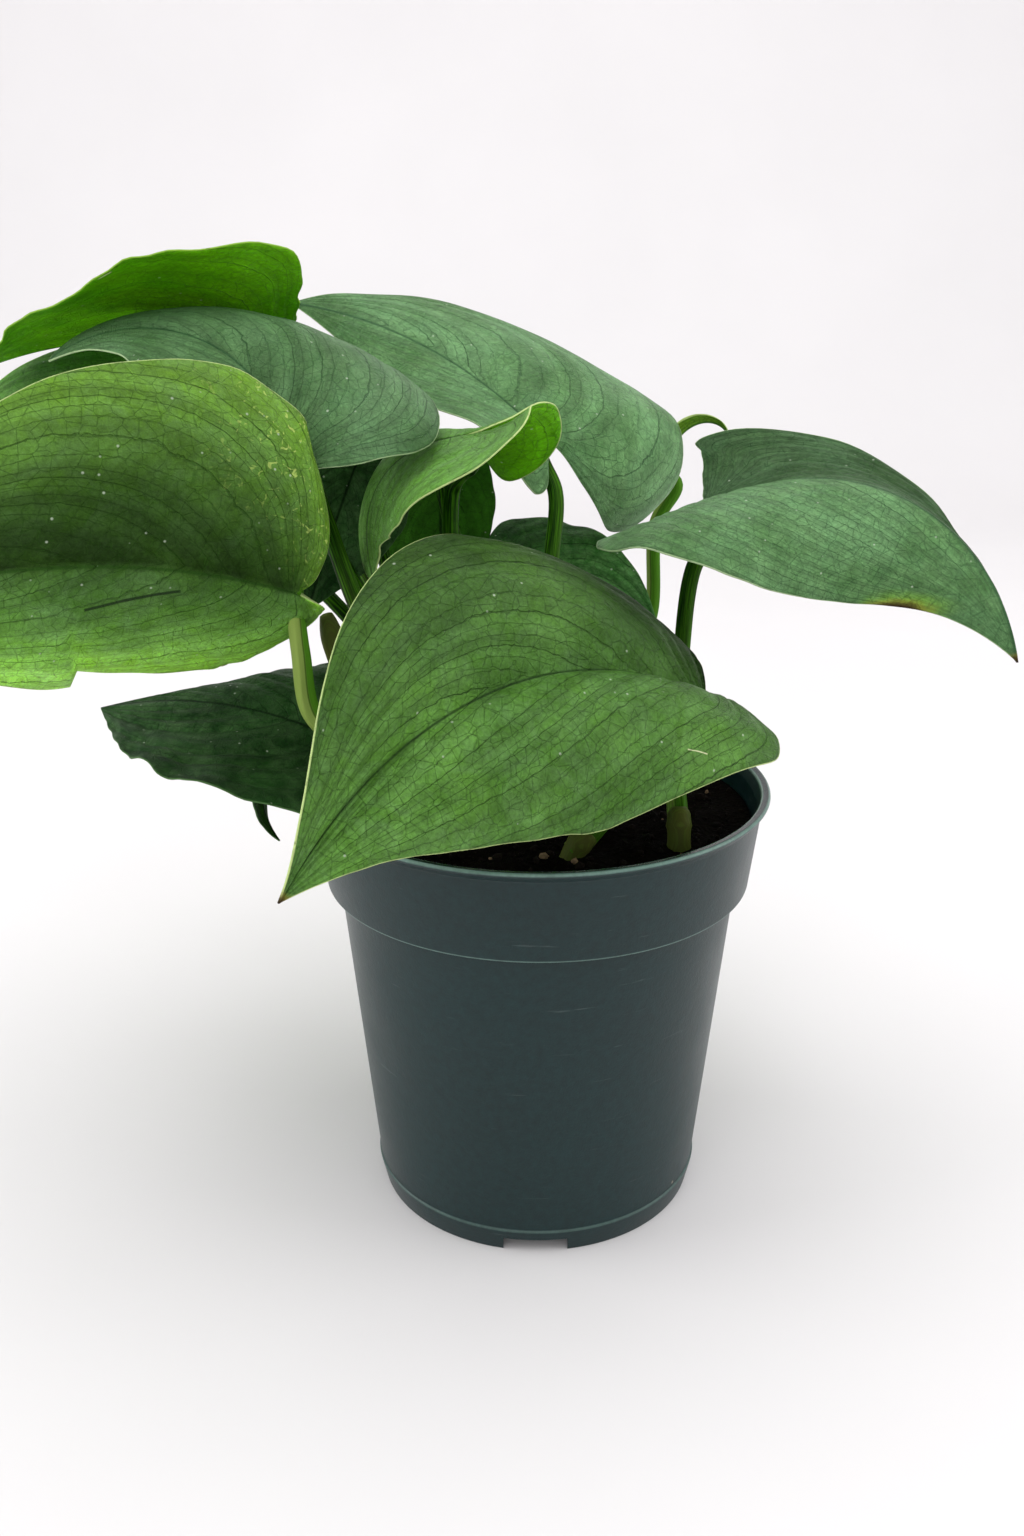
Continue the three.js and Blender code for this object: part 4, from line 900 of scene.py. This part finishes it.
def pot_material(name, pot):
    """Polypropylene, injection moulded with dark pigment: satin, with a fine grain from the mould,
    cloudy and speckled, with faint level scuffs, a few grains of soil, and painted highlights
    along its edges."""
    material, tree = new_material(name)
    place = add_node(tree, "TexCoord", out="Object")
    spot = add_node(tree, "SeparateXYZ", {0: place}).node.outputs
    cloud = add_node(tree, "TexNoise", {
        "Vector": place, "Scale": 28.0, "Detail": 5.0, "Roughness": 0.6})
    # Mould grain, drawn 0.4 mm wide so that it shows.
    grain = add_node(tree, "TexNoise", {"Vector": place, "Scale": 2400.0, "Detail": 2.0})
    # Scuffs: thin and level, some 15 mm long.
    flat = add_node(tree, "Mapping", {
        "Vector": place, "Scale": (60.0, 60.0, 900.0), "Rotation": (0.06, 0.04, 0.0)})
    scuff = add_node(tree, "TexNoise", {
        "Vector": flat, "Scale": 1.0, "Detail": 3.0, "Roughness": 0.7})
    scuffs = add_node(tree, "MapRange", {
        0: scuff, 1: 0.66, 2: 0.8, 3: 0.0, 4: 0.2}, interpolation_type="SMOOTHSTEP")
    # Painted highlights: paler along the rim's two edges, the collar's lower edge and the
    # foot's edge.
    high = add_node(tree, "MapRange", {
        0: spot[2], 1: pot.height - 0.0009, 2: pot.height - 0.0004},
        interpolation_type="SMOOTHSTEP")
    flat_spot = add_node(tree, "CombineXYZ", {0: spot[0], 1: spot[1]})
    radius = add_node(tree, "VectorMath", {0: flat_spot}, operation="LENGTH")
    off_middle = add_node(tree, "Math", {0: radius, 1: pot.rim_radius - 0.0011},
                          operation="SUBTRACT")
    off_crest = add_node(tree, "Math", {0: off_middle}, operation="ABSOLUTE")
    outer = add_node(tree, "MapRange", {
        0: off_crest, 1: 0.0004, 2: 0.0008}, interpolation_type="SMOOTHSTEP")
    rim_edge = add_node(tree, "Math", {0: outer, 1: high}, operation="MULTIPLY")
    below = add_node(tree, "Math", {0: spot[2], 1: pot.collar_bottom + 0.0002},
                     operation="SUBTRACT")
    off_collar = add_node(tree, "Math", {0: below}, operation="ABSOLUTE")
    collar_edge = add_node(tree, "MapRange", {
        0: off_collar, 1: 0.00005, 2: 0.00034, 3: 0.6, 4: 0.0}, interpolation_type="SMOOTHSTEP")
    over_foot = add_node(tree, "Math", {0: spot[2], 1: FOOT_TOP * MM}, operation="SUBTRACT")
    off_foot = add_node(tree, "Math", {0: over_foot}, operation="ABSOLUTE")
    foot_edge = add_node(tree, "MapRange", {
        0: off_foot, 1: 0.0001, 2: 0.0005, 3: 0.3, 4: 0.0}, interpolation_type="SMOOTHSTEP")
    lower_edges = add_node(tree, "Math", {0: collar_edge, 1: foot_edge}, operation="MAXIMUM")
    highlighted = add_node(tree, "Math", {0: rim_edge, 1: lower_edges}, operation="MAXIMUM")
    body = add_node(tree, "Mix", {0: highlighted, 6: pot.colour, 7: pot.highlight_colour}, data_type="RGBA")
    # Cloudy, and speckled in spots of 1 to 2 mm.
    spots = add_node(tree, "TexNoise", {
        "Vector": place, "Scale": 520.0, "Detail": 4.0, "Roughness": 0.75})
    clouded = add_node(tree, "MapRange", {0: cloud, 1: 0.3, 2: 0.7, 3: 0.92, 4: 1.1})
    speckled = add_node(tree, "MapRange", {0: spots, 1: 0.3, 2: 0.7, 3: 0.8, 4: 1.25})
    tone = add_node(tree, "Math", {0: clouded, 1: speckled}, operation="MULTIPLY")
    toned = add_node(tree, "VectorMath", {0: body, "Scale": tone}, operation="SCALE")
    scuffed = add_node(tree, "Mix", {0: scuffs, 6: toned, 7: linear("#7d8a88")}, data_type="RGBA")
    # Crumbs of soil that stick to the outside, up to 1 mm across.
    dots = add_node(tree, "TexVoronoi", {
        "Vector": place, "Scale": 150.0}, feature="F1").node.outputs
    near = add_node(tree, "MapRange", {
        0: dots["Distance"], 1: 0.05, 2: 0.08, 3: 1.0, 4: 0.0})
    chosen = add_node(tree, "SeparateXYZ", {0: dots["Color"]})
    rare = add_node(tree, "Math", {0: chosen, 1: 0.965}, operation="GREATER_THAN")
    crumb = add_node(tree, "Math", {0: near, 1: rare}, operation="MULTIPLY")
    soiled = add_node(tree, "Mix", {0: crumb, 6: scuffed, 7: linear("#8a8072")}, data_type="RGBA")
    rough_grain = add_node(tree, "Math", {0: spots, 1: 1.5, 2: grain}, operation="MULTIPLY_ADD")
    bump = add_node(tree, "Bump", {"Strength": 0.35, "Distance": 0.0001, "Height": rough_grain})
    matt = add_node(tree, "MapRange", {0: cloud, 1: 0.3, 2: 0.7, 3: 0.32, 4: 0.44})
    # The rim is rubbed smooth.
    rough = add_node(tree, "Math", {0: high, 1: -0.14, 2: matt}, operation="MULTIPLY_ADD")
    shader = add_node(tree, "BsdfPrincipled", {
        "Base Color": soiled, "Roughness": rough, "Normal": bump, "IOR": 1.49,
        "Specular IOR Level": 0.34})
    add_node(tree, "OutputMaterial", {0: shader})
    return material


def soil_material(name, soil):
    """Potting mix, peat and composted bark, moist: dark and matt, with browner grains, and darkened
    further to near black as painted shade under the rim.
    """
    material, tree = new_material(name)
    place = add_node(tree, "TexCoord", out="Object")
    grains = add_node(tree, "TexVoronoi", {
        "Vector": place, "Scale": 900.0}, feature="F1").node.outputs
    clumps = add_node(tree, "TexNoise", {
        "Vector": place, "Scale": 220.0, "Detail": 5.0, "Roughness": 0.7})
    tint = add_node(tree, "SeparateXYZ", {0: grains["Color"]})
    amount = add_node(tree, "Math", {0: tint, 1: clumps}, operation="MULTIPLY")
    colour = add_node(tree, "Mix", {0: amount, 6: soil.dark, 7: soil.light}, data_type="RGBA")
    height = add_node(tree, "Math", {0: clumps, 1: grains["Distance"]}, operation="ADD")
    bump = add_node(tree, "Bump", {"Strength": 0.8, "Distance": 0.0006, "Height": height})
    shader = add_node(tree, "BsdfPrincipled", {
        "Base Color": colour, "Roughness": 0.95, "Normal": bump, "Specular IOR Level": 0.03})
    add_node(tree, "OutputMaterial", {0: shader})
    return material


def crumb_material(name):
    """Loose bits of bark, root and grit: each piece has its own tint, from black to tan, the dark
    ones darkened further as painted shade under the rim.
    """
    material, tree = new_material(name)
    tint = add_node(tree, "Attribute", out="Fac", attribute_name="tint")
    place = add_node(tree, "TexCoord", out="Object")
    noise = add_node(tree, "TexNoise", {"Vector": place, "Scale": 1400.0, "Detail": 3.0})
    dark = add_node(tree, "MapRange", {0: tint, 1: 0.0, 2: 0.8})
    brown = add_node(tree, "Mix", {
        0: dark, 6: linear("#040302"), 7: linear("#140e0a")}, data_type="RGBA")
    tan = add_node(tree, "MapRange", {0: tint, 1: 0.95, 2: 0.97})
    chip = add_node(tree, "Mix", {0: tan, 6: brown, 7: linear("#74604c")}, data_type="RGBA")
    tone = add_node(tree, "MapRange", {0: noise, 1: 0.3, 2: 0.7, 3: 0.7, 4: 1.3})
    colour = add_node(tree, "VectorMath", {0: chip, "Scale": tone}, operation="SCALE")
    shader = add_node(tree, "BsdfPrincipled", {
        "Base Color": colour, "Roughness": 0.95, "Specular IOR Level": 0.1})
    add_node(tree, "OutputMaterial", {0: shader})
    return material


def soil_height(x, y, rise):
    """Height of the soil's top: crossing sine waves, broad and fine, that fade out towards the
    wall."""
    fade = np.clip((49 - np.hypot(x, y)) / 12, 0, 1)
    broad = np.sin(x * 0.31 + 1) * np.cos(y * 0.27) + 0.6 * np.sin(x * 0.13 - y * 0.43)
    fine = np.sin(x * 1.7 + y * 0.9) * np.sin(y * 1.9 - x * 0.6) + np.sin(x * 3.1) * np.sin(y * 2.7)
    return SOIL_TOP + rise * fade * broad + 0.22 * fade * fine


def backdrop_material(name, colour):
    """Matt white paper, with a very faint cloudiness."""
    material, tree = new_material(name)
    place = add_node(tree, "TexCoord", out="Object")
    cloud = add_node(tree, "TexNoise", {"Vector": place, "Scale": 6.0, "Detail": 3.0})
    tone = add_node(tree, "MapRange", {0: cloud, 1: 0.3, 2: 0.7, 3: 0.985, 4: 1.01})
    toned = add_node(tree, "VectorMath", {0: colour[:3], "Scale": tone}, operation="SCALE")
    shader = add_node(tree, "BsdfPrincipled", {
        "Base Color": toned, "Roughness": 0.8, "Specular IOR Level": 0.2})
    add_node(tree, "OutputMaterial", {0: shader})
    return material


# Settings


class PotSettings(bpy.types.PropertyGroup):
    """Sizes and colours of the nursery pot."""
    height: bpy.props.FloatProperty(
        name="Height", description="From the foot to the top of the rim",
        default=0.103, unit="LENGTH")
    rim_radius: bpy.props.FloatProperty(
        name="Rim radius", description="Outer radius of the rim", default=0.054, unit="LENGTH")
    collar_radius: bpy.props.FloatProperty(
        name="Collar radius", description="Outer radius at the foot of the collar",
        default=0.0499, unit="LENGTH")
    collar_bottom: bpy.props.FloatProperty(
        name="Collar height", description="Height of the collar's lower edge",
        default=0.081, unit="LENGTH")
    body_radius: bpy.props.FloatProperty(
        name="Body radius", description="Outer radius of the body just under the collar",
        default=0.047, unit="LENGTH")
    foot_radius: bpy.props.FloatProperty(
        name="Foot radius", description="Outer radius of the foot ring",
        default=0.0386, unit="LENGTH")
    wall: bpy.props.FloatProperty(
        name="Wall", description="Thickness of the wall", default=0.0016, unit="LENGTH")
    colour: bpy.props.FloatVectorProperty(
        name="Colour", description="Colour of the plastic", subtype="COLOR", size=4,
        default=linear("#0a2526"))
    # The colour of the painted highlights along the pot's edges.
    highlight_colour: bpy.props.FloatVectorProperty(
        name="Edge colour", description="Colour of the plastic at its rubbed edges",
        subtype="COLOR", size=4, default=linear("#67837a"))


class SoilSettings(bpy.types.PropertyGroup):
    """Relief and colours of the potting mix."""
    rise: bpy.props.FloatProperty(
        name="Unevenness", description="Height of the broad waves of the top",
        default=0.0009, unit="LENGTH")
    crumbs: bpy.props.IntProperty(
        name="Crumbs", description="Number of loose bits on the top", default=900)
    # Both colours are the mix's own dark tones, darkened further as painted shade under the rim.
    dark: bpy.props.FloatVectorProperty(
        name="Dark colour", description="Colour of the peat", subtype="COLOR", size=4,
        default=linear("#040302"))
    light: bpy.props.FloatVectorProperty(
        name="Light colour", description="Colour of the browner grains", subtype="COLOR", size=4,
        default=linear("#120d0a"))


class LeafSettings(bpy.types.PropertyGroup):
    """How finely the blades are meshed."""
    rows: bpy.props.IntProperty(
        name="Rows", description="Rays of a blade from its stalk to its tip", default=96)
    halves: bpy.props.IntProperty(
        name="Columns", description="Steps from the rib to the margin", default=30)


class StageSettings(bpy.types.PropertyGroup):
    """Floor, camera and lights."""
    floor: bpy.props.FloatVectorProperty(
        name="Paper colour", description="Colour of the paper sweep", subtype="COLOR", size=4,
        default=linear("#e7e5e6"))
    lens: bpy.props.FloatProperty(
        name="Focal length", description="Focal length of the camera", default=34.04,
        subtype="DISTANCE_CAMERA")
    key: bpy.props.FloatProperty(
        name="Key light", description="Power of the key light", default=7.8, unit="POWER")
    fill: bpy.props.FloatProperty(
        name="Fill light", description="Power of each fill light", default=4.9, unit="POWER")


# Operators


class PLANT_OT_pot(bpy.types.Operator):
    """Add the nursery pot: a lathed shell with a rolled rim, a collar, a notched foot and holes"""
    bl_idname = "plant.pot"
    bl_label = "Pot"

    def execute(self, context):
        pot = context.scene.plant_pot
        height, rim, wall = pot.height / MM, pot.rim_radius / MM, pot.wall / MM
        step, body, collar = pot.collar_bottom / MM, pot.body_radius / MM, pot.collar_radius / MM
        foot = pot.foot_radius / MM
        inner = wall_profile(pot, 0)
        outside = [(0, 0), (9, 0), (12, FLOOR_UNDERSIDE), (foot - 2.9, FLOOR_UNDERSIDE),
                   (foot - 1.9, 0), (foot, 0), (foot + 1.4, FOOT_TOP), (foot + 1, FOOT_TOP + 0.3),
                   (body, step), (collar, step), (COLLAR_TOP_RADIUS, height - 2.6),
                   (rim - 0.5, height - 1.5), (rim, height - 0.9), (rim, height - 0.5),
                   (rim - 0.4, height), (rim - 2.1, height - 0.3)]
        inside = [*inner[::-1], (inner[0][0] - 2, FLOOR_TOP), (0, FLOOR_TOP)]
        profile = round_corners(outside + inside, 0.35)
        points, faces = lathe_mesh(profile, 192)
        material = pot_material("moulded_polypropylene", pot)
        piece = add_piece("pot_shell", points, faces, material, ["pot"])
        # Notches in the foot and drain holes in the floor are cut out.
        cutters = []
        for i in range(NOTCHES):
            turn = 2 * math.pi * i / NOTCHES - math.pi / 2
            place = (foot - 0.5) * MM
            bpy.ops.mesh.primitive_cube_add(
                size=1, location=(place * math.cos(turn), place * math.sin(turn), 0),
                rotation=(0, 0, turn), scale=[side * MM for side in NOTCH])
            cutters.append(context.object)
        for i in range(HOLES):
            turn = 2 * math.pi * (i + 0.5) / HOLES
            place = HOLE_CIRCLE * MM
            bpy.ops.mesh.primitive_cylinder_add(
                vertices=40, radius=HOLE_RADIUS * MM, depth=6 * MM,
                location=(place * math.cos(turn), place * math.sin(turn), FLOOR_TOP * MM))
            cutters.append(context.object)
        for cutter in cutters:
            cut = piece.modifiers.new("cut", "BOOLEAN")
            cut.operation = "DIFFERENCE"
            cut.solver = "EXACT"
            cut.object = cutter
        context.view_layer.update()
        whole = piece.evaluated_get(context.evaluated_depsgraph_get())
        shape = bpy.data.meshes.new_from_object(whole)
        piece.modifiers.clear()
        piece.data = shape
        for cutter in cutters:
            bpy.data.objects.remove(cutter)
        shape.shade_smooth()
        shape.set_sharp_from_angle(angle=math.radians(40))
        return {"FINISHED"}


class PLANT_OT_soil(bpy.types.Operator):
    """Add the potting mix: its uneven body, and loose bits of bark and root on the top"""
    bl_idname = "plant.soil"
    bl_label = "Potting mix"

    def execute(self, context):
        soil, pot = context.scene.plant_soil, context.scene.plant_pot
        bottom, step, collar, top = wall_profile(pot, SOIL_GAP)
        share = (SOIL_TOP - collar[1]) / (top[1] - collar[1])
        edge = collar[0] + (top[0] - collar[0]) * share
        rings = [(edge * k / 60, SOIL_TOP) for k in range(60, 0, -1)]
        floor = FLOOR_TOP + SOIL_GAP
        profile = np.array([(0, floor), (bottom[0] - 2, floor), bottom, step, collar, *rings,
                            (0, SOIL_TOP)])
        points, faces = lathe_mesh(profile, 144)
        on_top = points[:, 2] > SOIL_TOP - 0.1
        x, y = points[on_top, 0], points[on_top, 1]
        points[on_top, 2] = soil_height(x, y, soil.rise / MM)
        material = soil_material("peat_and_bark_mix", soil)
        add_piece("soil_body", points, faces, material, ["soil"])
        # Each crumb is a stretched icosahedron.
        rng = np.random.default_rng(5)
        golden = (1 + 5 ** 0.5) / 2
        corners = np.array([(-1, golden, 0), (1, golden, 0), (-1, -golden, 0), (1, -golden, 0),
                            (0, -1, golden), (0, 1, golden), (0, -1, -golden), (0, 1, -golden),
                            (golden, 0, -1), (golden, 0, 1), (-golden, 0, -1), (-golden, 0, 1)])
        corners /= np.linalg.norm(corners[0])
        sides = np.array([(0, 11, 5), (0, 5, 1), (0, 1, 7), (0, 7, 10), (0, 10, 11), (1, 5, 9),
                          (5, 11, 4), (11, 10, 2), (10, 7, 6), (7, 1, 8), (3, 9, 4), (3, 4, 2),
                          (3, 2, 6), (3, 6, 8), (3, 8, 9), (4, 9, 5), (2, 4, 11), (6, 2, 10),
                          (8, 6, 7), (9, 8, 1)])
        count = soil.crumbs
        radius = (edge - 1.5) * np.sqrt(rng.uniform(0, 1, count))
        turn = rng.uniform(0, 2 * math.pi, count)
        x, y = radius * np.cos(turn), radius * np.sin(turn)
        size = 0.3 + 0.9 * rng.uniform(0, 1, count) ** 3
        shape = rng.uniform(0.5, 1.4, (count, 1, 3)) * rng.uniform(0.8, 1.2, (count, 12, 1))
        bits = corners[None] * shape * size[:, None, None]
        spin = rng.uniform(0, 2 * math.pi, (count, 1))
        flat_x = bits[..., 0] * np.cos(spin) - bits[..., 1] * np.sin(spin)
        flat_y = bits[..., 0] * np.sin(spin) + bits[..., 1] * np.cos(spin)
        height = soil_height(x, y, soil.rise / MM) + 0.25 * size
        bits = np.stack([flat_x + x[:, None], flat_y + y[:, None],
                         bits[..., 2] + height[:, None]], -1)
        faces = (sides[None] + 12 * np.arange(count)[:, None, None]).reshape(-1, 3).tolist()
        tint = np.repeat(rng.uniform(0, 1, count), 12)
        add_piece("soil_crumbs", bits.reshape(-1, 3), faces, crumb_material("bark_and_grit"), (),
                  {"tint": tint}, smooth=False)
        return {"FINISHED"}


class PLANT_OT_shoots(bpy.types.Operator):
    """Add the shoots: each vine stem with the leaf stalks that grow from it"""
    bl_idname = "plant.shoots"
    bl_label = "Shoots"

    def execute(self, context):
        material = stem_material("living_stem")
        for shoot in SHOOTS:
            points, faces, attributes = shoot_mesh(shoot)
            name = shoot["name"]
            add_piece(name.replace("shoot", "vine"), points, faces, material, [name],
                      attributes)
        return {"FINISHED"}


class PLANT_OT_leaves(bpy.types.Operator):
    """Add the leaf blades, each a closed curved sheet with raised fields between its veins"""
    bl_idname = "plant.leaves"
    bl_label = "Leaves"

    def execute(self, context):
        settings = context.scene.plant_leaves
        materials = {look: leaf_material(look + "_leaf", look) for look in LOOKS}
        for leaf in LEAVES:
            name = leaf["name"]
            detail = {**PLAIN, **DETAILS[name]}
            points, faces, attributes = blade_mesh(leaf, detail, settings.rows, settings.halves)
            material = materials[detail["tone"] or leaf["look"]]
            add_piece(name.replace("leaf", "blade"), points, faces, material, [name],
                      attributes)
        return {"FINISHED"}


class PLANT_OT_stage(bpy.types.Operator):
    """Add the paper sweep, the lights and the camera"""
    bl_idname = "plant.stage"
    bl_label = "Stage"

    def execute(self, context):
        stage = context.scene.plant_stage
        # A flat floor that turns up into a wall by a quarter circle behind the plant.
        near, turns_at, bend, top, half = -2200, 900, 500, 2200, 2600
        s = np.linspace(0, math.pi / 2, 24)
        back = np.stack([turns_at + bend * np.sin(s), bend - bend * np.cos(s)], -1)
        rows = np.vstack([[(near, 0)], back, [(turns_at + bend, top)]])
        across = np.array([-half, half], float)
        points = np.stack([np.broadcast_to(across, (len(rows), 2)),
                           np.repeat(rows[:, :1], 2, 1), np.repeat(rows[:, 1:], 2, 1)], -1)
        material = backdrop_material("paper_sweep", stage.floor[:])
        add_piece("sweep", points.reshape(-1, 3), grid_faces(len(rows), 2), material, None)
        camera = bpy.data.cameras.new("camera")
        camera.lens = stage.lens
        camera.sensor_width = 36
        eye = bpy.data.objects.new("camera", camera)
        eye.location = CAMERA_PLACE
        eye.rotation_euler = [math.radians(angle) for angle in CAMERA_TURN]
        context.scene.collection.objects.link(eye)
        context.scene.camera = eye
        # Soft square lights round and over the plant, all turned to its middle.
        for name, place, size, power in (
                ("key", (0.3, -0.05, 1.35), 1.6, stage.key),
                ("back", (-0.35, 0.3, 1.4), 1.4, stage.key * 0.6),
                ("left", (-1.2, -0.05, 0.45), 0.9, stage.fill * 1.35),
                ("right", (1.2, -0.05, 0.45), 0.9, stage.fill),
                ("front", (-0.2, -1.3, 1.0), 1.5, stage.fill * 1.2)):
            light = bpy.data.lights.new(name, "AREA")
            light.size = size
            light.energy = power
            lamp = bpy.data.objects.new(name, light)
            lamp.location = place
            aim = np.array((0, 0, 0.1)) - np.array(place)
            level = math.hypot(aim[0], aim[1])
            lamp.rotation_euler = (math.atan2(level, -aim[2]), 0, math.atan2(-aim[0], aim[1]))
            context.scene.collection.objects.link(lamp)
        world = bpy.data.worlds.new("studio")
        world.use_nodes = True
        world.node_tree.nodes.clear()
        sky = add_node(world.node_tree, "Background", {
            "Color": (0.95, 0.94, 0.945, 1), "Strength": 0.66})
        add_node(world.node_tree, "OutputWorld", {0: sky})
        context.scene.world = world
        context.scene.view_settings.view_transform = "Standard"
        return {"FINISHED"}


class PLANT_PT_panel(bpy.types.Panel):
    """The plant's parts, in the order they are made"""
    bl_label = "Plant"
    bl_space_type = "VIEW_3D"
    bl_region_type = "UI"
    bl_category = "Plant"

    def draw(self, context):
        scene = context.scene
        for settings, operators in ((scene.plant_pot, ["plant.pot"]),
                                    (scene.plant_soil, ["plant.soil"]),
                                    (scene.plant_leaves, ["plant.shoots", "plant.leaves"]),
                                    (scene.plant_stage, ["plant.stage"])):
            box = self.layout.box()
            for key in settings.__annotations__:
                box.prop(settings, key)
            for operator in operators:
                box.operator(operator)


SETTINGS = {"plant_pot": PotSettings, "plant_soil": SoilSettings, "plant_leaves": LeafSettings,
            "plant_stage": StageSettings}
CLASSES = [*SETTINGS.values(), PLANT_OT_pot, PLANT_OT_soil, PLANT_OT_shoots, PLANT_OT_leaves,
           PLANT_OT_stage, PLANT_PT_panel]


def register():
    """Adds the classes and the settings."""
    for each in CLASSES:
        bpy.utils.register_class(each)
    for name, group in SETTINGS.items():
        setattr(bpy.types.Scene, name, bpy.props.PointerProperty(type=group))


def unregister():
    """Takes the classes and the settings away again."""
    for name in SETTINGS:
        delattr(bpy.types.Scene, name)
    for each in reversed(CLASSES):
        bpy.utils.unregister_class(each)


def main():
    """Makes every part in order."""
    register()
    bpy.ops.plant.pot()
    bpy.ops.plant.soil()
    bpy.ops.plant.shoots()
    bpy.ops.plant.leaves()
    bpy.ops.plant.stage()


if __name__ == "__main__":
    main()
